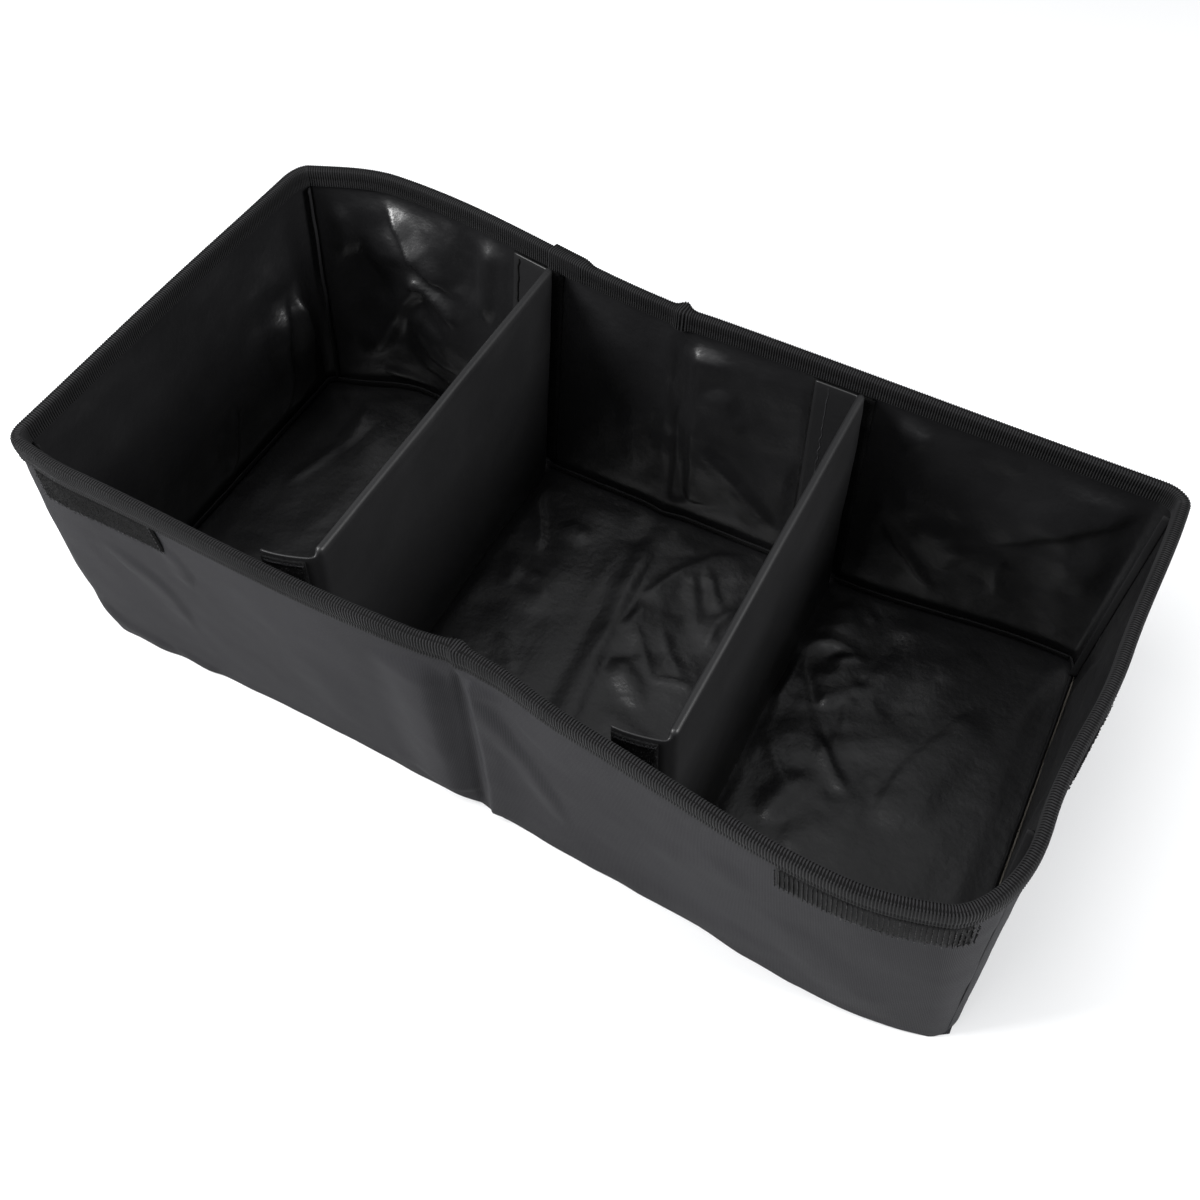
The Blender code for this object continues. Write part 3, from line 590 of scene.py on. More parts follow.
# Form of a stitch, and of the fibres of piles and hooks.
STITCH_SPLITS = 1
FIBRE_BENDS = 2
FIBRE_SIDES = 3
FIBRE_RADIUS_SHARE = 0.055
FIBRE_SPIN = (-0.5, -0.5, 0.0), (0.5, 0.5, 2 * math.pi)
FIBRE_GROWTH = 0.55, 1.25


class NodeTool(NodeTree):
    """A Geometry Nodes tree with named inputs, run once on a guide mesh."""

    def __init__(self, name: str) -> None:
        """Start the tree."""
        self.tree = bpy.data.node_groups.new(name, "GeometryNodeTree")
        self.tree.interface.new_socket("Geometry", in_out="INPUT", socket_type="NodeSocketGeometry")
        self.tree.interface.new_socket("Geometry", in_out="OUTPUT", socket_type="NodeSocketGeometry")
        self.entry = self.tree.nodes.new("NodeGroupInput")
        self.exit = self.tree.nodes.new("NodeGroupOutput")
        self.values: dict[str, object] = {}

    def input(self, name: str, kind: str, value: object) -> Socket:
        """Add a named input.

        Args:
            name: Name of the input.
            kind: Float, Int or Material.
            value: What the modifier gives it.

        Returns:
            The input's socket inside the tree.
        """
        made = self.tree.interface.new_socket(name, in_out="INPUT", socket_type=f"NodeSocket{kind}")
        self.values[made.identifier] = value
        return self.entry.outputs[name]

    @property
    def guide(self) -> Socket:
        """The guide mesh that the tree works on."""
        return self.entry.outputs["Geometry"]

    def guide_curve(self) -> Socket:
        """The guide's edges as curves."""
        return self.node("GeometryNodeMeshToCurve", None, {"Mesh": self.guide}).outputs[0]

    def close(self, geometry: Socket, material: Material) -> None:
        """End the tree: instances are made real and get their material."""
        real = self.node("GeometryNodeRealizeInstances", None, {0: geometry})
        finish = self.input("Finish", "Material", material)
        values = {"Geometry": real.outputs[0], "Material": finish}
        dressed = self.node("GeometryNodeSetMaterial", None, values)
        smooth = self.node("GeometryNodeSetShadeSmooth", None, {0: dressed.outputs[0]})
        self.tree.links.new(smooth.outputs[0], self.exit.inputs[0])

    def run(self, name: str, guide: Piece, material: Material) -> Piece:
        """Run the tree on a guide and keep the result as a plain mesh.

        Args:
            name: Name of the piece.
            guide: Object that holds the guide mesh, which is removed.
            material: Material of the result.

        Returns:
            The piece.
        """
        modifier = guide.modifiers.new("tool", "NODES")
        modifier.node_group = self.tree
        for identifier, value in self.values.items():
            modifier[identifier] = value
        graph = bpy.context.evaluated_depsgraph_get()
        mesh = bpy.data.meshes.new_from_object(guide.evaluated_get(graph))
        bpy.data.objects.remove(guide)
        mesh.name = name
        if not mesh.materials:
            mesh.materials.append(material)
        return linked(name, mesh)


def line_guide(lines: Sequence[Array]) -> Piece:
    """An object whose mesh has one run of edges for each line of points."""
    edges = []
    start = 0
    for line in lines:
        edges += [(start + place, start + place + 1) for place in range(len(line) - 1)]
        start += len(line)
    return guide_of(np.concatenate(lines), edges, [])


def surface_patch(points: Array) -> Piece:
    """An open patch of faces through a grid of points."""
    return guide_of(points.reshape(-1, 3), [], grid_faces(*points.shape[:2]).tolist())


def swept(name: str, lines: Sequence[Array], radius: float, sides: int, material: Material) -> Piece:
    """Sweep a round section along lines of points.

    Args:
        name: Name of the piece.
        lines: Lines of points.
        radius: Radius of the section.
        sides: Sides of the section.
        material: Its material.

    Returns:
        The piece.
    """
    tool = NodeTool(f"{name}_tool")
    circle = tool.node(
        "GeometryNodeCurvePrimitiveCircle",
        {"mode": "RADIUS"},
        {"Radius": tool.input("Radius", "Float", radius), "Resolution": tool.input("Sides", "Int", sides)},
    )
    values = {"Curve": tool.guide_curve(), "Profile Curve": circle.outputs[0], "Fill Caps": True}
    mesh = tool.node("GeometryNodeCurveToMesh", None, values)
    tool.close(mesh.outputs[0], material)
    return tool.run(name, line_guide(lines), material)


def stitched(
    name: str, lines: Sequence[Array], pitch: float, length: float, width: float, material: Material
) -> Piece:
    """Set rounded stitches along lines of points.

    Args:
        name: Name of the piece.
        lines: Lines of points that the seam follows.
        pitch: From one stitch to the next.
        length: Length of a stitch.
        width: Width of a stitch.
        material: Its material.

    Returns:
        The piece.
    """
    tool = NodeTool(f"{name}_tool")
    values = {"Curve": tool.guide_curve(), "Length": tool.input("Stitch pitch", "Float", pitch)}
    places = tool.node("GeometryNodeCurveToPoints", {"mode": "LENGTH"}, values)
    values = {"Vector": places.outputs["Tangent"]}
    turned = tool.node("FunctionNodeAlignRotationToVector", {"axis": "Z"}, values)
    ball = tool.node("GeometryNodeMeshIcoSphere", None, {"Radius": 0.5, "Subdivisions": STITCH_SPLITS})
    size = tool.node(
        "ShaderNodeCombineXYZ",
        None,
        {
            0: tool.input("Stitch width", "Float", width),
            1: tool.input("Stitch depth", "Float", width),
            2: tool.input("Stitch length", "Float", length),
        },
    )
    shaped = tool.node("GeometryNodeTransform", None, {"Geometry": ball.outputs[0], "Scale": size.outputs[0]})
    values = {"Points": places.outputs[0], "Instance": shaped.outputs[0], "Rotation": turned.outputs[0]}
    stitches = tool.node("GeometryNodeInstanceOnPoints", None, values)
    tool.close(stitches.outputs[0], material)
    return tool.run(name, line_guide(lines), material)


def grown(
    name: str,
    patch: Piece,
    density: float,
    height: float,
    lean: float,
    seed: int,
    material: Material,
) -> Piece:
    """Grow small bent fibres on a patch.

    Args:
        name: Name of the piece.
        patch: Object that holds the patch, which is removed.
        density: Fibres for each square metre.
        height: Height of a fibre.
        lean: How far a fibre's end lies from its foot.
        seed: Seed of the places.
        material: Its material.

    Returns:
        The piece.
    """
    tool = NodeTool(f"{name}_tool")
    high = tool.input("Fibre height", "Float", height)
    aside = tool.input("Fibre lean", "Float", lean)
    root = tool.input("Seed", "Int", seed)
    values = {"Mesh": tool.guide, "Density": tool.input("Density", "Float", density), "Seed": root}
    places = tool.node("GeometryNodeDistributePointsOnFaces", {"distribute_method": "RANDOM"}, values)
    middle = tool.node("ShaderNodeCombineXYZ", None, {2: high})
    end = tool.node("ShaderNodeCombineXYZ", None, {0: aside})
    values = {"Start": (0.0, 0.0, 0.0), "Middle": middle.outputs[0], "End": end.outputs[0]}
    arc = tool.node("GeometryNodeCurveQuadraticBezier", None, {"Resolution": FIBRE_BENDS, **values})
    values = {"Radius": height * FIBRE_RADIUS_SHARE, "Resolution": FIBRE_SIDES}
    ring = tool.node("GeometryNodeCurvePrimitiveCircle", {"mode": "RADIUS"}, values)
    values = {"Curve": arc.outputs[0], "Profile Curve": ring.outputs[0], "Fill Caps": True}
    fibre = tool.node("GeometryNodeCurveToMesh", None, values)
    values = {0: FIBRE_SPIN[0], 1: FIBRE_SPIN[1], "Seed": root}
    spin = tool.node("FunctionNodeRandomValue", {"data_type": "FLOAT_VECTOR"}, values)
    turn = tool.node("FunctionNodeEulerToRotation", None, {0: spin.outputs[0]})
    values = {0: places.outputs["Rotation"], 1: turn.outputs[0]}
    rotation = tool.node("FunctionNodeRotateRotation", {"rotation_space": "LOCAL"}, values)
    values = {2: FIBRE_GROWTH[0], 3: FIBRE_GROWTH[1], "Seed": root}
    grow = tool.node("FunctionNodeRandomValue", {"data_type": "FLOAT"}, values)
    values = {"Points": places.outputs["Points"], "Instance": fibre.outputs[0]}
    values |= {"Rotation": rotation.outputs[0], "Scale": grow.outputs[1]}
    fibres = tool.node("GeometryNodeInstanceOnPoints", None, values)
    tool.close(fibres.outputs[0], material)
    return tool.run(name, patch, material)


# ---------------------------------------------------------------- folds


# How folds are drawn, and how sways and creases are mixed from seeded waves.
FOLD_STEPS = 5
CRISP_POWER = 1.7
END_WIDTH = 0.35
SWAY_WAVES = 14
SWAY_SPREAD = 5.0
CREASE_SETS = 6
CREASE_SPREAD = 2.4
CREASE_BEND = 0.16
CREASE_BEND_WAVE = 2.4


@dataclass(frozen=True)
class Fold:
    """A fold of a sheet along a line, in the sheet's own two coordinates, in millimetres."""

    line: tuple[Place, ...]
    left: float
    right: float
    height: float
    crest: Crest = Crest.SOFT
    fade: float = 0.30

    def at(self, across: Array, up: Array, widen: float = 1.0) -> Array:
        """Height of the fold over a sheet.

        Args:
            across: First coordinate of each place.
            up: Second coordinate of each place.
            widen: Factor on the width of both flanks.

        Returns:
            The height at each place, all in millimetres.
        """
        line = smooth_line(np.array(self.line, float), FOLD_STEPS)
        reach = max(self.left, self.right) * widen
        low, high = line.min(0) - reach, line.max(0) + reach
        near = (across > low[0]) & (across < high[0]) & (up > low[1]) & (up < high[1])
        result = np.zeros(across.shape)
        if not near.any():
            return result
        x, y = across[near], up[near]
        best = np.full(x.shape, 1e9)
        side = np.zeros(x.shape)
        share = np.zeros(x.shape)
        runs = np.linalg.norm(np.diff(line, axis=0), axis=1)
        total, passed = runs.sum(), 0.0
        for start, end, run in zip(line[:-1], line[1:], runs):
            step = end - start
            along = np.clip(((x - start[0]) * step[0] + (y - start[1]) * step[1]) / run**2, 0.0, 1.0)
            off_x, off_y = x - start[0] - along * step[0], y - start[1] - along * step[1]
            distance = np.hypot(off_x, off_y)
            closer = distance < best
            best = np.where(closer, distance, best)
            side = np.where(closer, np.sign(step[0] * off_y - step[1] * off_x), side)
            share = np.where(closer, (passed + along * run) / total, share)
            passed += run
        wide = np.where(side >= 0, self.left, self.right) * widen
        ends = step_up(np.minimum(share, 1 - share), 0.0, self.fade)
        wide = wide * (END_WIDTH + (1 - END_WIDTH) * ends)
        gone = np.clip(best / wide, 0.0, 1.0)
        if self.crest is Crest.SOFT:
            form = np.cos(math.pi / 2 * gone) ** 2
        else:
            form = (1 - gone) ** CRISP_POWER
        result[near] = self.height * form * ends
        return result


@dataclass(frozen=True)
class Zone:
    """A soft-edged patch of a sheet, in millimetres: its middle, its reach and its weight."""

    x: float
    y: float
    reach_x: float
    reach_y: float
    weight: float

    def at(self, across: Array, up: Array) -> Array:
        """Weight of the patch over a sheet."""
        gone = ((across - self.x) / self.reach_x) ** 2 + ((up - self.y) / self.reach_y) ** 2
        return self.weight * np.exp(-(gone**2))


def smooth_line(line: Array, steps: int) -> Array:
    """Read points from a smooth curve through a line's own points."""
    if len(line) < 3:
        return line
    padded = np.vstack([2 * line[0] - line[1], line, 2 * line[-1] - line[-2]])
    places = []
    for a, b, c, d in zip(padded[:-3], padded[1:-2], padded[2:-1], padded[3:]):
        for t in np.linspace(0.0, 1.0, steps, endpoint=False):
            square, cube = 2 * a - 5 * b + 4 * c - d, 3 * b - a - 3 * c + d
            places.append(0.5 * (2 * b + (c - a) * t + square * t**2 + cube * t**3))
    places.append(line[-1])
    return np.array(places)


def summed(parts: Sequence[Fold | Zone], across: Array, up: Array, *widen: float) -> Array:
    """Sum of folds or zones over a sheet."""
    return sum((part.at(across, up, *widen) for part in parts), np.zeros(across.shape))


def sway(across: Array, up: Array, wave: float, seed: int, stretch: Place = (1.0, 1.0)) -> Array:
    """Smooth seeded unevenness of a sheet.

    Args:
        across: First coordinate of each place, in millimetres.
        up: Second coordinate.
        wave: Typical wavelength in millimetres.
        seed: Seed of the waves.
        stretch: Factors on the two wavelengths.

    Returns:
        About -1 to 1 at each place.
    """
    draw = np.random.default_rng(seed)
    total = np.zeros(np.broadcast(across, up).shape)
    for _ in range(SWAY_WAVES):
        angle, phase = draw.uniform(0, 2 * math.pi, 2)
        length = wave * draw.uniform(0.7, 1.6)
        turn_x = math.cos(angle) * across / stretch[0] + math.sin(angle) * up / stretch[1]
        total = total + np.sin(2 * math.pi * turn_x / length + phase)
    return total / SWAY_SPREAD


def crumple(across: Array, up: Array, wave: float, seed: int) -> Array:
    """Flat facets that meet in creases, as in crushed cloth.

    Args:
        across: First coordinate of each place, in millimetres.
        up: Second coordinate.
        wave: Typical distance between creases.
        seed: Seed of the creases.

    Returns:
        About -1 to 1 at each place.
    """
    draw = np.random.default_rng(seed)
    bent_x = across + CREASE_BEND * wave * sway(across, up, CREASE_BEND_WAVE * wave, seed + 101)
    bent_y = up + CREASE_BEND * wave * sway(across, up, CREASE_BEND_WAVE * wave, seed + 202)
    total = np.zeros(np.broadcast(across, up).shape)
    for _ in range(CREASE_SETS):
        angle, phase = draw.uniform(0, 2 * math.pi, 2)
        length = wave * draw.uniform(0.8, 2.2)
        turn = (math.cos(angle) * bent_x + math.sin(angle) * bent_y) / length + phase
        total = total + (np.abs(turn % 1.0 * 2 - 1) - 0.5) * length / wave
    return total / CREASE_SPREAD


def step_up(value: Array, low: float, high: float) -> Array:
    """Smooth step from 0 at low to 1 at high."""
    share = np.clip((value - low) / (high - low), 0.0, 1.0)
    return share * share * (3 - 2 * share)


# ---------------------------------------------------------------- the wall surface


@dataclass(frozen=True)
class Bulge:
    """A smooth outward bulge of a wall: its middle, its reach to each side and its height."""

    middle: float
    reach_low: float
    reach_high: float
    height: float

    def at(self, place: Array) -> Array:
        """Height of the bulge along the wall."""
        offset = place - self.middle
        reach = np.where(offset > 0, self.reach_high, self.reach_low)
        return self.height * np.cos(math.pi / 2 * np.clip(np.abs(offset) / reach, 0.0, 1.0)) ** 2


BASE_LEVEL, RIM_LEVEL = 0, 1
BULGES = {
    (Side.FRONT, BASE_LEVEL): (Bulge(-0.140, 0.300, 0.200, -0.0050), Bulge(0.195, 0.150, 0.090, 0.0125)),
    (Side.FRONT, RIM_LEVEL): (
        Bulge(-0.2100, 0.063, 0.205, 0.0079),
        Bulge(-0.0460, 0.170, 0.180, 0.0112),
        Bulge(0.1770, 0.224, 0.128, 0.0331),
        Bulge(0.0120, 0.050, 0.042, -0.0036),
    ),
    (Side.BACK, BASE_LEVEL): (Bulge(-0.185, 0.065, 0.100, 0.0180), Bulge(0.228, 0.120, 0.080, 0.0105)),
    (Side.BACK, RIM_LEVEL): (Bulge(0.000, 0.250, 0.250, 0.0030), Bulge(-0.195, 0.085, 0.200, 0.0245)),
    (Side.RIGHT, BASE_LEVEL): (),
    (Side.RIGHT, RIM_LEVEL): (Bulge(0.100, 0.090, 0.060, 0.0036), Bulge(-0.075, 0.075, 0.085, -0.0078)),
    (Side.LEFT, BASE_LEVEL): (),
    (Side.LEFT, RIM_LEVEL): (Bulge(0.000, 0.110, 0.110, 0.0010),),
}
FOLD_DEPTHS = {
    (Side.FRONT, BASE_LEVEL): 0.0022,
    (Side.FRONT, RIM_LEVEL): 0.0014,
    (Side.BACK, BASE_LEVEL): 0.0020,
    (Side.BACK, RIM_LEVEL): 0.0008,
}


@dataclass(frozen=True)
class BinSizes:
    """Sizes of the bin that its pieces share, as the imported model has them."""

    length: float = 0.500
    width: float = 0.227
    height: float = 0.159
    fabric: float = 0.0006
    board: float = 0.0013
    lining: float = 0.0005
    floor_board: float = 0.0023
    tape: float = 0.0008
    tape_outer_side: float = 0.0122
    tape_inner_side: float = 0.0100
    seam_reach: float = 0.0063
    fold_x: float = -0.006
    fold_half: float = 0.016
    fold_lip: float = 0.005
    rim_corners: tuple[float, ...] = (0.0018, 0.0265, 0.0050, 0.0016)
    base_corners: tuple[float, ...] = (0.0095, 0.0050, 0.0022, 0.0030)

    @property
    def wall_foot(self) -> float:
        """Height of the foot of the wall's fabric."""
        return self.fabric + GAP

    @property
    def lining_z(self) -> float:
        """Underside of the floor lining."""
        return self.wall_foot + self.floor_board + GAP

    @property
    def floor_top(self) -> float:
        """Upper side of the floor lining."""
        return self.lining_z + self.lining

    @property
    def wall_top(self) -> float:
        """Top of the walls, under the binding."""
        return self.height - self.tape - GAP

    @property
    def lining_inset(self) -> float:
        """Inset of the lining's outer side."""
        return self.fabric + 2 * GAP + self.board

    @property
    def wall_depth(self) -> float:
        """Inset of the lining's inner side."""
        return self.lining_inset + self.lining

    @property
    def tape_inside(self) -> float:
        """Inset of the binding's inner face."""
        return self.wall_depth + GAP + self.tape

    @property
    def lap_growth(self) -> float:
        """How far the lapped end of the binding stands off the layer below."""
        return self.tape + GAP

    @property
    def inner_trim(self) -> float:
        """Foot of the binding on the inside."""
        return self.height - self.tape_inner_side - self.lap_growth - GAP


SIZES = BinSizes()


# Bays of the walls and corners, form of the mid folds, and the two places where the fabric is slack.
LONG_STRETCH, END_STRETCH = 0.225, 0.200
HALF_CORNER_BAYS, OPEN_CORNER_BAYS, CORNER_BAYS = 6, 24, 12
DIP_POWER = 1.4
BELLY_DEPTH, BELLY_REACH = 0.0034, 0.040
FLARE_DEPTH, FLARE_X, FLARE_REACH = 0.0026, 0.062, 0.060


class WallForm:
    """The ruled surface of the walls, at fine stations round the bin."""

    def __init__(self, pitch: float) -> None:
        """Lay out the stations at about a pitch."""
        self.pitch = pitch
        self.marks: dict[str, int] = {}
        self.rings = [self._outline(level) for level in (BASE_LEVEL, RIM_LEVEL)]
        self.count = self.marks["count"]
        base, rim = (ring[0] for ring in self.rings)
        middle = (base + rim) / 2
        runs = np.linalg.norm(np.roll(middle, -1, axis=0) - middle, axis=1)
        self.travel = np.concatenate([[0.0], np.cumsum(runs)])

    def _bays(self, length: float, least: int) -> int:
        """Number of bays along a stretch."""
        return max(least, round(length / self.pitch))

    def _outline(self, level: int) -> tuple[Array, Array]:
        """Outline of the fabric's outer face at a level.

        Args:
            level: Base or rim.

        Returns:
            Its points and its normals, anticlockwise from the middle of the front left corner.
        """
        bin_ = SIZES
        if level == RIM_LEVEL:
            radii = [radius + bin_.tape_inside for radius in bin_.rim_corners]
        else:
            radii = [radius + bin_.seam_reach for radius in bin_.base_corners]
        signs = ((-1, -1), (1, -1), (1, 1), (-1, 1))
        hubs = [
            np.array([a * (bin_.length / 2 - radius), b * (bin_.width / 2 - radius)])
            for (a, b), radius in zip(signs, radii)
        ]
        places: list[Array] = []
        normals: list[Array] = []

        def mark(name: str) -> None:
            """Note the station reached."""
            self.marks[name] = sum(len(part) for part in places)

        def turn(corner: int, start: float, end: float, bays: int) -> None:
            """Add an arc of a corner, in degrees."""
            angle = np.radians(np.linspace(start, end, bays, endpoint=False))
            normal = np.stack([np.cos(angle), np.sin(angle)], 1)
            places.append(hubs[corner] + radii[corner] * normal)
            normals.append(normal)

        def run(stops: Sequence[float], bays: Sequence[int], fixed: float, axis: int, name: str) -> None:
            """Add a straight wall through its stops."""
            for start, end, count in zip(stops[:-1], stops[1:], bays):
                if name and start == bin_.fold_x:
                    mark(name)
                points = np.full((count, 2), fixed)
                points[:, axis] = np.linspace(start, end, count, endpoint=False)
                normal = np.zeros((count, 2))
                normal[:, 1 - axis] = math.copysign(1.0, fixed)
                places.append(points)
                normals.append(normal)

        half, lip = bin_.fold_half, bin_.fold_lip
        middle = bin_.fold_x
        dips = [middle - half, middle - lip, middle, middle + lip, middle + half]
        long_bays, end_bays = self._bays(LONG_STRETCH, 8), self._bays(END_STRETCH, 8)
        flank, bottom = self._bays(half - lip, 8), self._bays(lip, 5)
        bays = [long_bays, flank, bottom, bottom, flank, long_bays]
        turn(0, 225, 270, HALF_CORNER_BAYS)
        mark("front_start")
        run([hubs[0][0], *dips, hubs[1][0]], bays, -bin_.width / 2, 0, "front_fold")
        mark("front_end")
        turn(1, 270, 360, OPEN_CORNER_BAYS)
        mark("right_start")
        run([hubs[1][1], hubs[2][1]], [end_bays], bin_.length / 2, 1, "")
        mark("right_end")
        turn(2, 0, 90, CORNER_BAYS)
        mark("back_start")
        run([hubs[2][0], *dips[::-1], hubs[3][0]], bays, bin_.width / 2, 0, "back_fold")
        mark("back_end")
        turn(3, 90, 180, CORNER_BAYS)
        mark("left_start")
        run([hubs[3][1], hubs[0][1]], [end_bays], -bin_.length / 2, 1, "")
        mark("left_end")
        turn(0, 180, 225, HALF_CORNER_BAYS)
        mark("count")
        points = np.vstack(places)
        normal = np.vstack(normals)
        moved = points.copy()
        for axis, high, low in ((0, Side.RIGHT, Side.LEFT), (1, Side.BACK, Side.FRONT)):
            swells = [self._swell(side, level, points[:, 1 - axis]) for side in (high, low)]
            moved[:, axis] += normal[:, axis] * np.where(normal[:, axis] > 0, *swells)
        tangent = np.roll(moved, -1, axis=0) - np.roll(moved, 1, axis=0)
        tangent /= np.linalg.norm(tangent, axis=1)[:, None]
        return moved, np.stack([tangent[:, 1], -tangent[:, 0]], 1)

    @staticmethod
    def _swell(side: Side, level: int, place: Array) -> Array:
        """How far a wall stands out along it, with its mid fold."""
        total = np.zeros(place.shape)
        for part in BULGES[side, level]:
            total = total + part.at(place)
        if (side, level) in FOLD_DEPTHS:
            share = np.clip(np.abs(place - SIZES.fold_x) / SIZES.fold_half, 0.0, 1.0)
            total = total - FOLD_DEPTHS[side, level] * (1 - share) ** DIP_POWER
        return total

    def plan(self, stations: Array, z: Array, inset: Array) -> Array:
        """Plan points of the surface, moved inwards by an inset."""
        stations, z, inset = np.broadcast_arrays(*(np.asarray(v, float) for v in (stations, z, inset)))
        low = np.floor(stations).astype(int)
        share = (stations - low)[..., None]
        here, there = low % self.count, (low + 1) % self.count
        total = np.zeros((*stations.shape, 2))
        for level, weight in ((BASE_LEVEL, 1 - z / SIZES.height), (RIM_LEVEL, z / SIZES.height)):
            points, normals = self.rings[level]
            place = points[here] * (1 - share) + points[there] * share
            normal = normals[here] * (1 - share) + normals[there] * share
            total += weight[..., None] * (place - inset[..., None] * normal)
        return total

    def at(self, stations: Array, z: Array, inset: Array) -> Array:
        """Points of the surface, moved inwards by an inset."""
        plan = self.plan(stations, z, inset)
        return np.concatenate([plan, np.broadcast_to(z, plan.shape[:-1])[..., None]], -1)

    def normal(self, stations: Array, z: Array) -> Array:
        """Unit normal in plan, pointing outwards."""
        away = self.plan(stations, z, 0.0) - self.plan(stations, z, 0.001)
        return away / np.linalg.norm(away, axis=-1)[..., None]

    def span(self, side: Side) -> tuple[int, int]:
        """Stations from the middle of one corner to the next."""
        corners = [
            0,
            (self.marks["front_end"] + self.marks["right_start"]) // 2,
            (self.marks["right_end"] + self.marks["back_start"]) // 2,
            (self.marks["back_end"] + self.marks["left_start"]) // 2,
            self.count,
        ]
        first = list(Side).index(side)
        return corners[first], corners[first + 1]

    def station(self, side: Side, place: float, z: float) -> float:
        """Station of a wall at a place along it, in X, or in Y for an end, and a height."""
        low, high = self.span(side)
        stations = np.arange(low, high + 1)
        axis = 1 if side in (Side.RIGHT, Side.LEFT) else 0
        places = self.plan(stations, z, 0.0)[:, axis]
        if places[0] > places[-1]:
            stations, places = stations[::-1], places[::-1]
        return float(np.interp(place, places, stations))

    def wall_y(self, side: Side, x: Array, z: Array, inset: float) -> Array:
        """Y of a long wall at places along it and heights, given as grids."""
        low, high = self.span(side)
        stations = np.arange(low, high + 1)
        x, z = np.broadcast_arrays(np.asarray(x, float), np.asarray(z, float))
        result = np.empty(x.shape)
        for height in np.unique(z):
            points = self.plan(stations, height, inset)
            if side is Side.BACK:
                points = points[::-1]
            here = z == height
            result[here] = np.interp(x[here], points[:, 0], points[:, 1])
        return result


FORM = WallForm(0.0020)


def wall_sheet(
    name: str,
    span: tuple[int, int],
    levels: Array,
    inset: float,
    thickness: float,
    material: Material,
    lift: Lift,
) -> tuple[Piece, Place]:
    """Lay a sheet on the wall surface.

    Args:
        name: Name of the piece.
        span: First and last station.
        levels: Heights of its rows.
        inset: Inset of its outer side.
        thickness: Its thickness.
        material: Its material.
        lift: Gives how far the sheet stands out, from grids of stations and heights.

    Returns:
        The sheet, and the width and length that it is cut to.
    """
    stations = np.arange(span[0], span[1] + 1).astype(float)
    grid_s, grid_z = np.meshgrid(stations, levels)
    normal = FORM.normal(grid_s, grid_z)
    out = lift(grid_s, grid_z)[..., None] * normal
    faces = []
    for depth in (inset, inset + thickness):
        points = FORM.at(grid_s, grid_z, depth)
        points[..., :2] += out
        faces.append(points)
    travel = FORM.travel[stations.astype(int) % FORM.count] + FORM.travel[-1] * (stations // FORM.count)
    uv = np.stack([np.broadcast_to(travel, grid_z.shape), grid_z], -1)
    piece = thin_sheet(name, faces[0], faces[1], uv, material)
    return piece, (levels[-1] - levels[0], travel[-1] - travel[0])


def wall_places(side: Side, stations: Array, z: Array) -> tuple[Array, Array]:
    """Place along a wall and height of grid points, in millimetres."""
    axis = 1 if side in (Side.RIGHT, Side.LEFT) else 0
    return FORM.plan(stations, z, 0.0)[..., axis] / MM, z / MM


def corner_belly(stations: Array, z: Array) -> Array:
    """How far the fabric sags outwards beside the front left corner, up to the rim tape."""
    travel = FORM.travel[np.floor(stations).astype(int) % FORM.count]
    run = np.minimum(travel, FORM.travel[-1] - travel)
    height = np.sin(math.pi * np.clip(z / (SIZES.height - SIZES.tape_outer_side), 0.0, 1.0))
    return BELLY_DEPTH * np.maximum(height, 0.0) ** 0.9 * np.exp(-((run / BELLY_REACH) ** 2))


def front_flare(x: Array) -> Array:
    """How far the foot of the front stands out at its slack middle."""
    away = np.clip(np.abs(x - FLARE_X) / FLARE_REACH, 0.0, 1.0)
    return FLARE_DEPTH * np.cos(math.pi / 2 * away) ** 2


# ---------------------------------------------------------------- outer shell


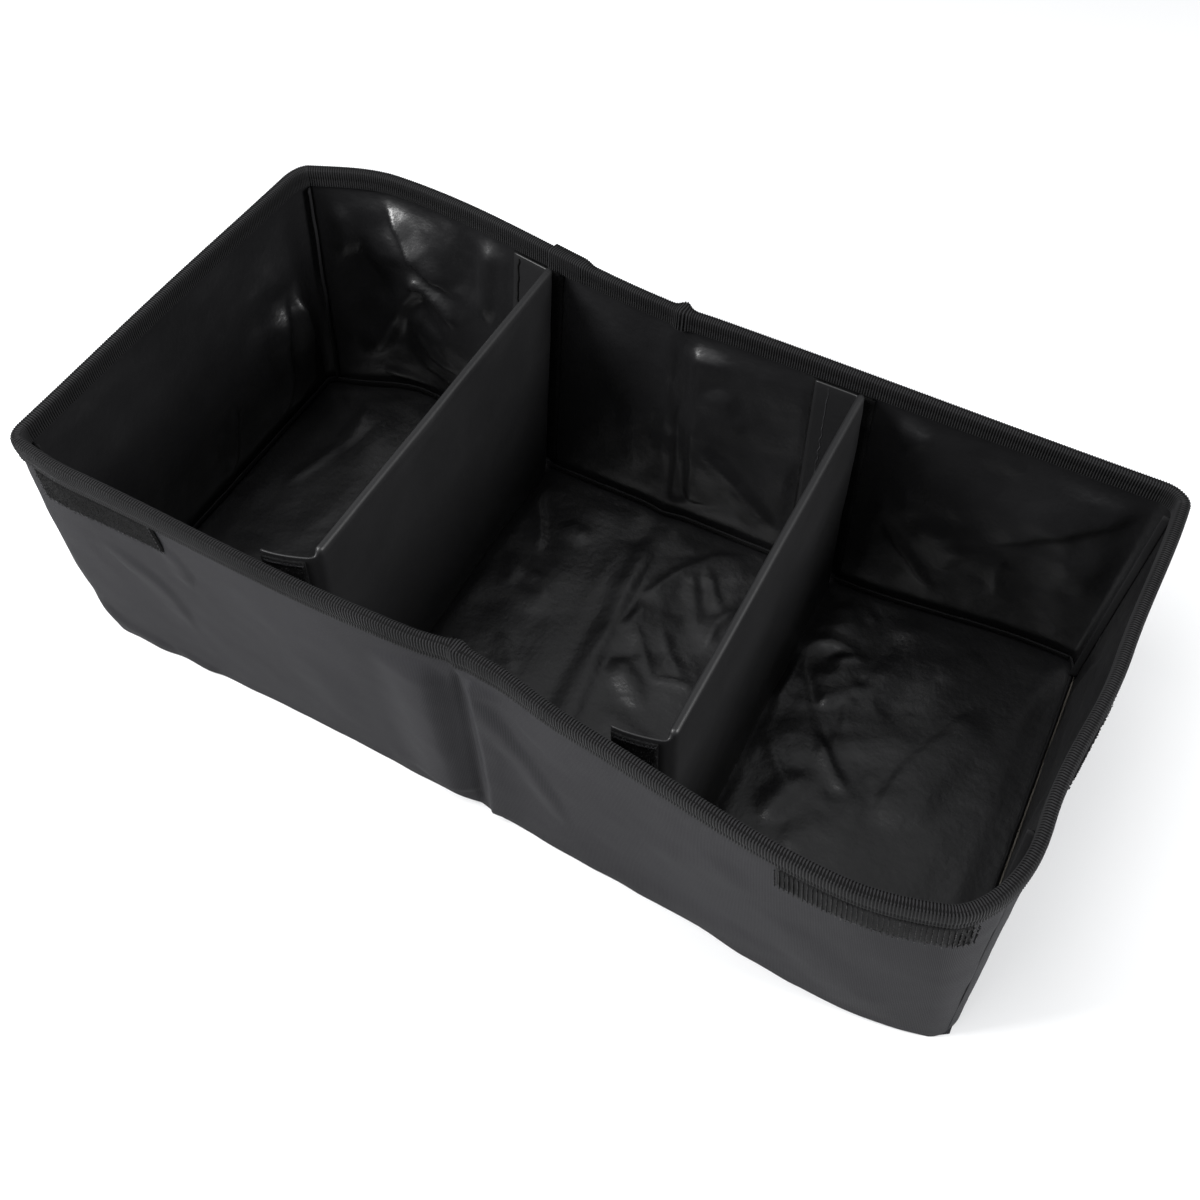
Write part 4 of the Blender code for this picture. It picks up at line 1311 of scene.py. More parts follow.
@dataclass
class OuterShell:
    """The woven outer fabric of the four walls and the bottom."""

    foot_round: float = 0.0014
    row_pitch: float = 0.0030
    foot_rows: tuple[float, ...] = (0.0, 0.0003, 0.0007, 0.0012, 0.0020, 0.0032)
    slack: float = 0.22
    ripple: float = 0.10
    foot_wave: float = 0.45
    hollow: float = 0.2
    crease: float = 1.6
    bottom_margin: float = 0.0016
    bottom_tuck: float = 0.0009
    bottom_hem: float = 0.018
    bottom_grid: tuple[int, int] = (80, 24)
    front_folds: tuple[Fold, ...] = (
        Fold(((-23, 138), (-22, 90), (-20, 44), (-19, 6)), 17, 32, 5.4, fade=0.10),
        Fold(((3.0, 140), (5, 90), (5.5, 40), (4, 1)), 22, 6, 3.6, Crest.CRISP, 0.06),
        Fold(((-5.5, 141), (-4.2, 90), (-4.4, 40), (-5, 1)), 7, 4, -1.7, Crest.CRISP, 0.06),
        Fold(((-3, 138), (8, 118), (18, 102), (31, 80), (42, 55), (53, 28)), 9, 15, 1.8),
        Fold(((8, 136), (22, 118), (44, 96)), 9, 16, -0.9),
        Fold(((87, 78), (117, 88), (144, 118)), 20, 24, 1.3),
        Fold(((60, 4), (120, 16), (170, 40)), 22, 22, 0.9),
        Fold(((150, 92), (185, 50), (225, 14)), 26, 26, 1.3),
        Fold(((-214, 110), (-196, 98), (-180, 82), (-172, 44)), 7, 15, 1.3),
        Fold(((-222, 104), (-203, 84), (-190, 60)), 8, 12, -0.8),
        Fold(((-246, 40), (-228, 14), (-192, 4)), 8, 14, 1.4),
        Fold(((-202, 12), (-186, 6), (-168, 3)), 5, 8, 1.3, Crest.CRISP),
        Fold(((-169, 134), (-158, 119), (-160, 96)), 6, 12, 1.0),
        Fold(((-120, 120), (-90, 70), (-75, 20)), 26, 26, 0.8),
        Fold(((-60, 20), (-40, 8), (-20, 3)), 14, 14, 0.8),
    )
    back_folds: tuple[Fold, ...] = (
        Fold(((-6, 140), (-3, 90), (-1, 40), (-1, 1)), 6, 6, -1.2, Crest.CRISP, 0.06),
        Fold(((-15, 138), (-14, 90), (-13, 6)), 8, 12, 0.9),
        Fold(((6, 138), (8, 90), (11, 6)), 10, 8, 1.2),
        Fold(((14, 130), (36, 96), (60, 40)), 12, 16, 1.2),
        Fold(((-215, 110), (-185, 70), (-150, 30)), 24, 24, 1.4),
        Fold(((150, 100), (190, 60), (225, 12)), 22, 22, 1.2),
        Fold(((-110, 110), (-80, 60), (-60, 14)), 24, 24, 0.8),
    )
    end_folds: tuple[Fold, ...] = (
        Fold(((-70, 120), (-40, 70), (-20, 12)), 24, 24, 0.9),
        Fold(((80, 120), (55, 70), (50, 14)), 24, 24, 0.9),
    )

    def levels(self) -> Array:
        """Heights of the rows: close together at the foot, where the fabric turns under."""
        low = SIZES.wall_foot
        foot = low + np.array(self.foot_rows)
        rows = round((SIZES.wall_top - foot[-1]) / self.row_pitch)
        return np.concatenate([foot[:-1], np.linspace(foot[-1], SIZES.wall_top, rows)])

    def lift(self, side: Side, folds: Sequence[Fold], seed: int) -> Lift:
        """How the fabric of a wall stands off its surface."""
        tape_foot = SIZES.height - SIZES.tape_outer_side

        def stand_off(stations: Array, z: Array) -> Array:
            """Height of the folds, faded under the binding, with the foot turned under."""
            across, up = wall_places(side, stations, z)
            total = summed(folds, across, up)
            ripple = self.ripple * sway(across, up, 17.0, seed + 1)
            total += self.slack * sway(across, up, 46.0, seed) + ripple
            total += self.foot_wave * sway(across, 0 * up, 34.0, seed + 2) * (1 - step_up(up, 0.0, 14.0))
            total *= 1 - step_up(z, tape_foot - 0.012, tape_foot + 0.001)
            seam = np.abs(across - SIZES.fold_x / MM)
            total = np.maximum(total, -self.hollow - self.crease * (1 - step_up(seam, 2.5, 4.8)))
            rise = np.clip(1 - (z - SIZES.wall_foot) / self.foot_round, 0.0, 1.0)
            turned = self.foot_round * (1 - np.sqrt(1 - rise**2)) * 0.5
            total = total * MM - turned + corner_belly(stations, z)
            if side is Side.FRONT:
                total += front_flare(across * MM) * (1 - step_up(z, 0.0, 0.050))
            return total

        return stand_off

    def build(self, finishes: Finishes) -> None:
        """Make the four walls and the bottom."""
        walls = (
            (Side.FRONT, "front_outer", "front_outer_panel", self.front_folds, 11),
            (Side.RIGHT, "right_outer", "right_end_outer_panel", self.end_folds, 12),
            (Side.BACK, "back_outer", "back_outer_panel", self.back_folds, 13),
            (Side.LEFT, "left_outer", "left_end_outer_panel", self.end_folds, 14),
        )
        material = finishes.outer_fabric
        for side, name, node, folds, seed in walls:
            lift = self.lift(side, folds, seed)
            piece, cut = wall_sheet(name, FORM.span(side), self.levels(), 0.0, SIZES.fabric, material, lift)
            dress(piece, [node])
        self.build_bottom(finishes)

    @staticmethod
    def boards(side: Side) -> list[str]:
        """Boards that the fabric of a wall is stretched over."""
        if side in (Side.FRONT, Side.BACK):
            return [f"{side.value}_board_left", f"{side.value}_board_right"]
        return [f"{side.value}_end_board"]

    def build_bottom(self, finishes: Finishes) -> None:
        """Make the bottom, as a sheet from the front wall's foot to the back wall's."""
        columns, rows = self.bottom_grid
        end = SIZES.length / 2 - self.bottom_margin
        x = np.linspace(-end, end, columns)
        front = FORM.wall_y(Side.FRONT, x, np.zeros(x.shape), self.bottom_tuck) - front_flare(x)
        back = FORM.wall_y(Side.BACK, x, np.zeros(x.shape), self.bottom_tuck)
        share = np.linspace(0.0, 1.0, rows)[:, None]
        grid_y = front * (1 - share) + back * share
        grid_x = np.broadcast_to(x, grid_y.shape)
        top = np.stack([grid_x, grid_y, np.full(grid_y.shape, SIZES.fabric)], -1)
        under = top - np.array([0.0, 0.0, SIZES.fabric])
        piece = thin_sheet("bottom_outer", top, under, top[..., :2], finishes.outer_fabric)
        dress(piece, ["bottom_outer_panel"])


# ---------------------------------------------------------------- lining


# Marks where the linings of two walls meet, from the front left corner.
CORNER_MARKS = ("left_end", "right_start", "right_end", "back_end")


@dataclass
class LiningSet:
    """The coated lining of the walls and the floor, with its wrinkles."""

    row_pitch: float = 0.0024
    floor_grid: tuple[int, int] = (224, 106)
    slack: float = 0.42
    stand_off: float = 0.5
    ripple: float = 0.16
    grain: float = 0.05
    hollow: float = 0.25
    fold_widening: float = 1.55
    fold_gain: float = 1.3
    loose_rise: float = 5.0
    loose_crumple: float = 3.8
    loose_crinkle: float = 1.1
    floor_widening: float = 1.8
    floor_gain: float = 0.68
    floor_crumple: float = 1.40
    floor_crinkle: float = 0.14
    floor_dip: float = 1.1
    floor_slack: float = 0.35
    floor_rest: float = 1.0
    pressed: float = 0.12
    back_folds: tuple[Fold, ...] = (
        Fold(
            ((-209, 150), (-194, 133), (-180, 116), (-164, 103), (-147, 97)), 9, 3.6, 4.6, Crest.CRISP, 0.28
        ),
        Fold(((-186, 118), (-172, 106), (-157, 98)), 5, 9, -1.2),
        Fold(
            ((-222, 26), (-207, 54), (-192, 82), (-181, 96), (-166, 91), (-151, 73)), 10, 7, 3.4, fade=0.2
        ),
        Fold(((-190, 90), (-180, 98), (-167, 92), (-150, 76)), 5, 3.4, 2.6, Crest.CRISP, 0.25),
        Fold(((-196, 62), (-186, 78), (-174, 76), (-160, 62)), 6, 8, -1.6),
        Fold(((-130, 152), (-131, 128), (-134, 86)), 6, 7, 2.6, fade=0.2),
        Fold(((-150, 150), (-146, 120), (-144, 92)), 8, 8, -1.4),
        Fold(((-216, 22), (-201, 15), (-176, 11)), 5, 5, 2.0, Crest.CRISP),
        Fold(((-190, 60), (-172, 48), (-152, 38)), 4.5, 7, 2.2, Crest.CRISP),
        Fold(((-186, 40), (-168, 30), (-150, 24)), 4.5, 6, 1.8, Crest.CRISP),
        Fold(((-170, 149), (-164, 144), (-155, 141)), 4, 5, 1.2),
        Fold(((-230, 140), (-229, 120), (-228, 100)), 6, 7, 1.4),
        Fold(((-214, 120), (-222, 80), (-226, 44)), 12, 14, -1.8),
        Fold(((-120, 150), (-120, 120), (-122, 80)), 7, 7, 1.0),
        Fold(((-60, 140), (-48, 110), (-40, 60), (-36, 24)), 20, 22, 1.6),
        Fold(((-30, 100), (-29, 70), (-27, 24)), 9, 9, 1.2),
        Fold(((-7, 146), (-4, 90), (0, 16)), 7, 5, -2.4, Crest.CRISP, 0.06),
        Fold(((5, 144), (8, 90), (10, 20)), 15, 5, 2.6, fade=0.08),
        Fold(((10, 78), (32, 59), (66, 24)), 4.5, 10, 2.6, Crest.CRISP, 0.25),
        Fold(((14, 122), (24, 104), (33, 84)), 8, 10, 1.6),
        Fold(((48, 138), (46, 100), (52, 60)), 18, 16, -1.8),
        Fold(((118, 71), (138, 50), (160, 24)), 2.4, 5.0, 2.3, Crest.CRISP, 0.3),
        Fold(((112, 136), (122, 137), (134, 130)), 7, 10, 1.8),
        Fold(((246, 142), (219, 121), (190, 92), (170, 74)), 7, 20, 2.8, fade=0.3),
        Fold(((184, 76), (188, 54), (190, 36)), 4, 5, 1.0, Crest.CRISP),
        Fold(((170, 74), (162, 62), (156, 44)), 6, 6, 0.9),
        Fold(((168, 146), (174, 138), (180, 134)), 4, 5, 0.9),
    )
    front_folds: tuple[Fold, ...] = (
        Fold(((-190, 120), (-170, 84), (-150, 40)), 12, 18, 2.2),
        Fold(((-50, 110), (-42, 70), (-34, 26)), 14, 18, 1.8),
        Fold(((-8, 140), (-5, 90), (0, 16)), 5, 4, -1.4, Crest.CRISP, 0.06),
        Fold(((30, 130), (50, 90), (60, 40)), 12, 14, 1.6),
        Fold(((150, 120), (176, 80), (200, 36)), 14, 20, 2.2),
        Fold(((200, 130), (214, 90), (220, 40)), 10, 12, 1.5),
    )
    left_folds: tuple[Fold, ...] = (
        Fold(((88, 97), (90, 76), (97, 54), (109, 22)), 3.4, 8.5, 3.6, Crest.CRISP, 0.22),
        Fold(((86, 99), (74, 80), (70, 46), (60, 16)), 4.0, 9.0, 3.0, Crest.CRISP, 0.2),
        Fold(((80, 88), (78, 60), (80, 34)), 6, 6, -1.4),
        Fold(((26, 62), (16, 44), (6, 14)), 5, 4, 2.4, Crest.CRISP, 0.3),
        Fold(((8, 52), (4, 34), (4, 12)), 4, 5, -1.2),
        Fold(((60, 118), (61, 104), (66, 92)), 8, 8, 0.8),
        Fold(((-50, 120), (-58, 80), (-60, 30)), 16, 18, 1.0),
    )
    right_folds: tuple[Fold, ...] = (
        Fold(((30, 120), (46, 84), (60, 40)), 9, 12, 1.8),
        Fold(((-30, 116), (-44, 76), (-55, 30)), 9, 12, 1.8),
    )
    floor_folds: tuple[Fold, ...] = (
        Fold(((-90, 98), (-80, 86), (-67, 66), (-55, 42)), 2.6, 5.5, 2.6, Crest.CRISP, 0.25),
        Fold(((-56, 74), (-46, 71), (-34, 70)), 5, 6, 1.6),
        Fold(((-76, 40), (-64, 28), (-62, 14)), 4, 5, 1.6, Crest.CRISP),
        Fold(((-58, 34), (-46, 28), (-34, 14)), 4, 5, 1.8, Crest.CRISP),
        Fold(((-72, 22), (-50, 14), (-30, 14)), 5, 7, 1.4),
        Fold(((-52, -14), (-40, -22), (-28, -36)), 4, 7, 2.0, Crest.CRISP),
        Fold(((-60, 60), (-40, 40), (-26, 2)), 9, 9, 1.0),
        Fold(((-2, 90), (0, 52), (3, 16), (10, -36), (14, -70)), 4, 14, 2.6, fade=0.12),
        Fold(((2, 46), (14, 52), (20, 68), (31, 84), (44, 98), (64, 102)), 4, 6, 2.6, Crest.CRISP, 0.2),
        Fold(((36, 84), (44, 70), (56, 54)), 2.6, 4.0, 2.4, Crest.CRISP, 0.3),
        Fold(((28, 78), (38, 58), (50, 36)), 3, 5, 1.8, Crest.CRISP),
        Fold(((66, 66), (57, 48), (58, 26)), 3.2, 5.0, 2.4, Crest.CRISP),
        Fold(((12, 30), (26, 13), (42, -5)), 2.6, 4.4, 2.2, Crest.CRISP),
        Fold(((28, 34), (42, 17), (57, 3)), 2.6, 4.0, 2.0, Crest.CRISP),
        Fold(((10, 2), (28, -9), (44, -26)), 6, 6, 2.4),
        Fold(((38, -4), (52, 1), (66, 2)), 3, 4, 1.6, Crest.CRISP),
        Fold(((8, 16), (13, 34), (10, 46)), 3.4, 4.0, 1.6, Crest.CRISP),
        Fold(((20, -30), (44, -40), (66, -44)), 6, 7, 1.6),
        Fold(((30, -52), (50, -62), (74, -66)), 5, 7, 1.4),
        Fold(((119, 111), (129, 99), (138, 88)), 2.8, 4.4, 2.2, Crest.CRISP),
        Fold(((106, 62), (120, 67), (137, 67)), 3.5, 3.0, 1.8, Crest.CRISP),
        Fold(((112, 98), (124, 84), (128, 74)), 9, 10, 1.4),
        Fold(((122, 54), (132, 62), (142, 64)), 3.0, 3.6, 2.0, Crest.CRISP),
        Fold(((105, 56), (106, 38), (104, 14)), 3.0, 3.4, 2.8, Crest.CRISP, 0.2),
        Fold(((107, 54), (123, 30), (148, -4)), 2.2, 3.2, -2.0, Crest.CRISP, 0.25),
        Fold(((124, 22), (135, 36), (148, 50)), 6.5, 4.4, 3.2, Crest.CRISP, 0.25),
        Fold(((146, 14), (142, 30), (142, 42)), 4, 5, 1.8),
        Fold(((132, 8), (149, -10), (164, -22)), 3.8, 5.0, 2.6, Crest.CRISP),
        Fold(((108, -4), (121, -19), (132, -32)), 2.2, 3.6, 2.0, Crest.CRISP),
        Fold(((142, -16), (131, -34), (126, -58)), 6, 7, 3.0, fade=0.3),
        Fold(((160, -36), (150, -50), (140, -66)), 6, 8, 1.6),
        Fold(((208, 66), (196, 36), (184, 6), (178, -34)), 16, 5, 2.8, fade=0.2),
        Fold(((178, 68), (190, 86), (200, 100)), 7, 8, 1.2),
        Fold(((160, 92), (176, 60), (180, 30)), 16, 18, 1.2),
        Fold(((-212, 104), (-206, 82), (-206, 56)), 4, 6, 1.6),
        Fold(((-208, 68), (-212, 42), (-220, 16)), 3, 5, 1.5, Crest.CRISP),
        Fold(((-196, 96), (-186, 40), (-190, -10)), 10, 12, 1.4),
        Fold(((-170, 60), (-150, 20), (-140, -30)), 12, 12, 1.4),
        Fold(((-130, 90), (-120, 50), (-118, 0)), 8, 10, 1.2),
        Fold(((-220, -20), (-190, -40), (-150, -50)), 10, 12, 1.4),
    )

    back_zones: tuple[Zone, ...] = (
        Zone(-182.0, 84.0, 46.0, 66.0, 1.0),
        Zone(20.0, 84.0, 44.0, 62.0, 0.60),
        Zone(176.0, 84.0, 66.0, 56.0, 0.60),
    )
    left_zones: tuple[Zone, ...] = (Zone(84.0, 60.0, 46.0, 60.0, 0.85), Zone(18.0, 36.0, 34.0, 40.0, 0.4))
    right_zones: tuple[Zone, ...] = (Zone(40.0, 80.0, 60.0, 60.0, 0.4),)
    floor_zones: tuple[Zone, ...] = (
        Zone(42.0, 40.0, 46.0, 70.0, 1.0),
        Zone(-52.0, 10.0, 30.0, 50.0, 0.5),
        Zone(134.0, 30.0, 44.0, 90.0, 1.0),
        Zone(190.0, -20.0, 50.0, 80.0, 0.35),
        Zone(-170.0, 30.0, 60.0, 60.0, 0.3),
    )

    def levels(self) -> Array:
        """Heights of the rows of a wall's lining."""
        rows = round((SIZES.wall_top - SIZES.lining_z) / self.row_pitch)
        return np.linspace(SIZES.lining_z, SIZES.wall_top, rows)

    def lift(self, side: Side, folds: Sequence[Fold], zones: Sequence[Zone], seed: int) -> Lift:
        """How the lining of a wall stands off inwards."""

        def stand_off(stations: Array, z: Array) -> Array:
            """Wrinkles, faded at the floor, under the binding, at the corners and at the tabs."""
            across, up = wall_places(side, stations, z)
            total = summed(folds, across, up, self.fold_widening) * self.fold_gain
            crumpled = self.loose_rise + self.loose_crumple * crumple(across, up, 42.0, seed + 3)
            crumpled = crumpled + self.loose_crinkle * crumple(across, up, 18.0, seed + 4)
            total += summed(zones, across, up) * crumpled
            total += self.slack * sway(across, up, 58.0, seed, (1.0, 1.6)) + self.stand_off
            grain = self.grain * sway(across, up, 9.0, seed + 2)
            total += self.ripple * sway(across, up, 22.0, seed + 1) + grain
            total *= step_up(z, SIZES.floor_top + 0.002, SIZES.floor_top + 0.018)
            total *= 1 - step_up(z, SIZES.inner_trim - 0.014, SIZES.inner_trim + 0.001)
            is_long = side in (Side.FRONT, Side.BACK)
            reach = SIZES.length / 2 if is_long else SIZES.width / 2
            total *= step_up(reach / MM - np.abs(across), 6.0, 22.0)
            if is_long:
                total *= tab_clearance(across * MM)
            return -np.maximum(total, -self.hollow) * MM

        return stand_off

    def build(self, finishes: Finishes) -> None:
        """Make the linings of the four walls and of the floor."""
        first, *others = (FORM.marks[key] for key in CORNER_MARKS)
        ends = [first - FORM.count, *others, first]
        walls = (
            (Side.FRONT, "front", self.front_folds, (), 21),
            (Side.RIGHT, "right_end", self.right_folds, self.right_zones, 24),
            (Side.BACK, "back", self.back_folds, self.back_zones, 27),
            (Side.LEFT, "left_end", self.left_folds, self.left_zones, 30),
        )
        for (side, name, folds, zones, seed), span in zip(walls, zip(ends, ends[1:])):
            lift = self.lift(side, folds, zones, seed)
            title, inset, material = f"{name}_lining_cloth", SIZES.lining_inset, finishes.coated_lining
            piece, cut = wall_sheet(title, span, self.levels(), inset, SIZES.lining, material, lift)
            dress(piece, [f"{name}_lining"])
            OuterShell.boards(side)
        self.build_floor(finishes)

    def floor_rise(self, x: Array, y: Array, edge: Array) -> Array:
        """Height of the floor's wrinkles, in metres.

        Args:
            x: Places along the bin.
            y: Places across it.
            edge: Distance of each place from the walls.

        Returns:
            The rise at each place.
        """
        across, up = x / MM, y / MM
        total = summed(self.floor_folds, across, up, self.floor_widening) * self.floor_gain
        crushed = summed(self.floor_zones, across, up)
        crumpled = self.floor_crumple * crushed * crumple(across, up, 27.0, 41)
        total += crumpled + self.floor_crinkle * crushed * crumple(across, up, 11.0, 46)
        total += self.floor_slack * sway(across, up, 44.0, 41, (1.0, 1.3)) + self.floor_rest
        fold = SIZES.fold_x / MM
        total -= self.floor_dip * np.exp(-(((across - fold + 0.06 * up) / 6.5) ** 2))
        total *= step_up(edge / MM, 5.0, 20.0)
        for divider in DIVIDERS:
            gap = np.abs(x - divider.middle(0.0)) / MM - DIVIDER_HALF / MM
            total *= self.pressed + (1 - self.pressed) * step_up(gap, 0.6, 7.0)
        return np.maximum(total, 0.0) * MM

    def build_floor(self, finishes: Finishes) -> None:
        """Make the floor's lining, as one sheet."""
        inset = SIZES.wall_depth + 2 * GAP
        height = SIZES.floor_top
        marks = FORM.marks
        low = FORM.plan(np.arange(marks["left_end"] - FORM.count, marks["right_start"] + 1), height, inset)
        high = FORM.plan(np.arange(marks["right_end"], marks["left_start"] + 1), height, inset)[::-1]
        columns, rows = self.floor_grid
        x = np.linspace(low[0, 0], low[-1, 0], columns)
        share = np.linspace(0.0, 1.0, rows)[:, None]
        front = np.interp(x, low[:, 0], low[:, 1])
        back = np.interp(x, high[:, 0], high[:, 1])
        grid_y = front * (1 - share) + back * share
        grid_x = np.broadcast_to(x, grid_y.shape)
        edge = np.minimum.reduce([grid_y - front, back - grid_y, grid_x - x[0], x[-1] - grid_x])
        rise = self.floor_rise(grid_x, grid_y, edge)
        top = np.stack([grid_x, grid_y, height + rise], -1)
        under = top - np.array([0.0, 0.0, SIZES.lining])
        piece = thin_sheet("floor_lining_cloth", top, under, top[..., :2], finishes.coated_lining)
        dress(piece, ["floor_lining"])


# ---------------------------------------------------------------- bindings


@dataclass
class RimBinding:
    """The ribbed tape folded over the rim, its stitches and its lapped end."""

    lap_end_x: float = -0.089
    lap_length: float = 0.019
    lap_rise: float = 0.004
    edge_round: float = 0.0014
    rib_pitch: float = 0.00135
    rib_radius: float = 0.00043
    rib_sides: int = 4
    rib_lift: float = -0.00007
    stitch_line: float = 0.0092
    inner_stitch_line: float = 0.0066
    groove: float = 0.0005
    groove_reach: float = 0.0011
    puff: float = 0.00025
    crown: float = 0.0003
    section_pitch: float = 0.0032
    seam_pitch: float = 0.002
    stitch: Triple = (0.0032, 0.0022, 0.00045)
    stitch_sink: float = 0.4
    rib_points: tuple[int, ...] = (0, 2, 4, 5, 6, 7, 9, 11, 14, 17, 19, 21, 23, 27)
    outer_rib_points: int = 8
    pinch_reach: float = 0.0036
    pinches: tuple[tuple[Side, float, float], ...] = (
        (Side.BACK, -0.0075, 0.0021),
        (Side.FRONT, -0.0030, 0.0012),
    )

    def path(self, pitch: float) -> tuple[Array, Array]:
        """Stations along the tape at an even pitch.

        Args:
            pitch: Distance between stations.

        Returns:
            The stations, and how far the tape is grown off the wall there.
        """
        start_x = self.lap_end_x + self.lap_length
        start = FORM.station(Side.BACK, start_x, SIZES.height)
        end = FORM.station(Side.BACK, self.lap_end_x, SIZES.height) + FORM.count
        fine = np.arange(start, end, 0.25)
        rim = FORM.plan(fine, SIZES.height, 0.0)
        run = np.concatenate([[0.0], np.cumsum(np.linalg.norm(np.diff(rim, axis=0), axis=1))])
        even = np.linspace(0.0, run[-1], round(run[-1] / pitch) + 1)
        stations = np.interp(even, run, fine)
        left = run[-1] - even
        growth = SIZES.lap_growth * (1 - step_up(left, self.lap_length, self.lap_length + 2 * self.lap_rise))
        for side, x, swell in self.pinches:
            middle = FORM.station(side, x, SIZES.height)
            middle += 0 if middle >= start else FORM.count
            away = even - np.interp(middle, fine, run)
            growth = growth + swell * np.exp(-((away / self.pinch_reach) ** 2))
        return stations, growth

    def profile(self, growth: Array) -> tuple[Array, Array]:
        """Insets and heights round the tape's section, for each station.

        Args:
            growth: How far the tape is grown off the wall.

        Returns:
            Grids of insets and of heights, with a row for each station.
        """
        grow = growth[:, None]
        top = SIZES.height + grow
        outside = -GAP - SIZES.tape - grow
        inside = SIZES.tape_inside + grow
        thick = SIZES.tape
        outer_foot = SIZES.height - SIZES.tape_outer_side
        inner_foot = SIZES.height - SIZES.tape_inner_side
        turn = np.linspace(0.0, math.pi / 2, 6)[None, :]
        r = self.edge_round
        rise = np.linspace(0.0, 1.0, 9)[None, :]
        up_z = outer_foot + (top - r - outer_foot) * rise
        up_i = outside + self.dip(up_z, self.stitch_line) - self.puff * np.sin(rise * math.pi)
        back = turn[:, ::-1]
        over_i = np.concatenate([outside + r * (1 - np.cos(turn)), inside - r * (1 - np.cos(back))], 1)
        over_z = np.concatenate([top - r * (1 - np.sin(turn)), top - r * (1 - np.sin(back))], 1)
        share = np.clip((over_i - outside) / (inside - outside), 0, 1)
        over_z += self.crown * np.sin(share * math.pi)
        down_z = top - r + (inner_foot - top + r) * rise
        down_i = inside - self.dip(down_z, self.inner_stitch_line)
        bore_top = top - thick
        in_z = inner_foot + (bore_top - inner_foot) * rise[:, ::4]
        out_z = bore_top + (outer_foot - bore_top) * rise[:, ::4]
        bore_in = np.broadcast_to(inside - thick, in_z.shape)
        bore_out = np.broadcast_to(outside + thick, out_z.shape)
        insets = np.concatenate([up_i[:, :-1], over_i, down_i[:, 1:], bore_in, bore_out], 1)
        heights = np.concatenate([up_z[:, :-1], over_z, down_z[:, 1:], in_z, out_z], 1)
        return insets, heights

    def dip(self, heights: Array, line: float) -> Array:
        """How far the tape sinks in beside a row of stitches."""
        away = heights - (SIZES.height - line)
        return self.groove * np.exp(-((away / self.groove_reach) ** 2))

    def build(self, finishes: Finishes) -> None:
        """Make the tape, its ribs and its stitches."""
        stations, growth = self.path(self.section_pitch)
        insets, heights = self.profile(growth)
        grid_s = np.broadcast_to(stations[:, None], insets.shape)
        sections = FORM.at(grid_s, heights, insets)
        # The tape's body carries painted shade: it is coloured far darker than its ribs, to stand for the
        # shade in the grooves between them.
        tape = lofted("rim_tape", sections, finishes.binding_tape, False)
        dress(tape, ["rim_binding"])
        self.build_ribs(finishes)
        self.build_stitches(finishes)

    def build_ribs(self, finishes: Finishes) -> None:
        """Make the ribs across the tape, over its outside, top and inside."""
        stations, growth = self.path(self.rib_pitch)
        shown = list(self.rib_points)
        insets, heights = (grid[:, shown] for grid in self.profile(growth))
        outer = np.arange(len(shown)) < self.outer_rib_points
        insets = insets + np.where(outer, -self.rib_lift, self.rib_lift)
        grid_s = np.broadcast_to(stations[:, None], insets.shape)
        lines = FORM.at(grid_s, heights, insets)
        ribs = swept("rim_tape_ribs", list(lines), self.rib_radius, self.rib_sides, finishes.tape_rib)
        dress(ribs, [])

    def build_stitches(self, finishes: Finishes) -> None:
        """Make the two rows of stitches that hold the tape."""
        stations, growth = self.path(self.seam_pitch)
        outside = -GAP - SIZES.tape - growth + self.groove * self.stitch_sink
        inside = SIZES.tape_inside + growth - self.groove * self.stitch_sink
        lines = [
            FORM.at(stations, np.full(stations.shape, SIZES.height - line), inset)
            for line, inset in ((self.stitch_line, outside), (self.inner_stitch_line, inside))
        ]
        stitches = stitched("rim_stitches", lines, *self.stitch, finishes.dark_thread)
        dress(stitches, [])


# Sides and squareness of the seams' section.
RING_SIDES = 12
RING_POWER = 0.6


def rounded_ring(half_across: float, half_up: float) -> tuple[Array, Array]:
    """A rounded section that stands on its lower edge, as its coordinates across and up."""
    turn = np.linspace(0.0, 2 * math.pi, RING_SIDES, endpoint=False)
    across = half_across * np.sign(np.cos(turn)) * np.abs(np.cos(turn)) ** RING_POWER
    up = half_up * np.sign(np.sin(turn)) * np.abs(np.sin(turn)) ** RING_POWER + half_up
    return across, up


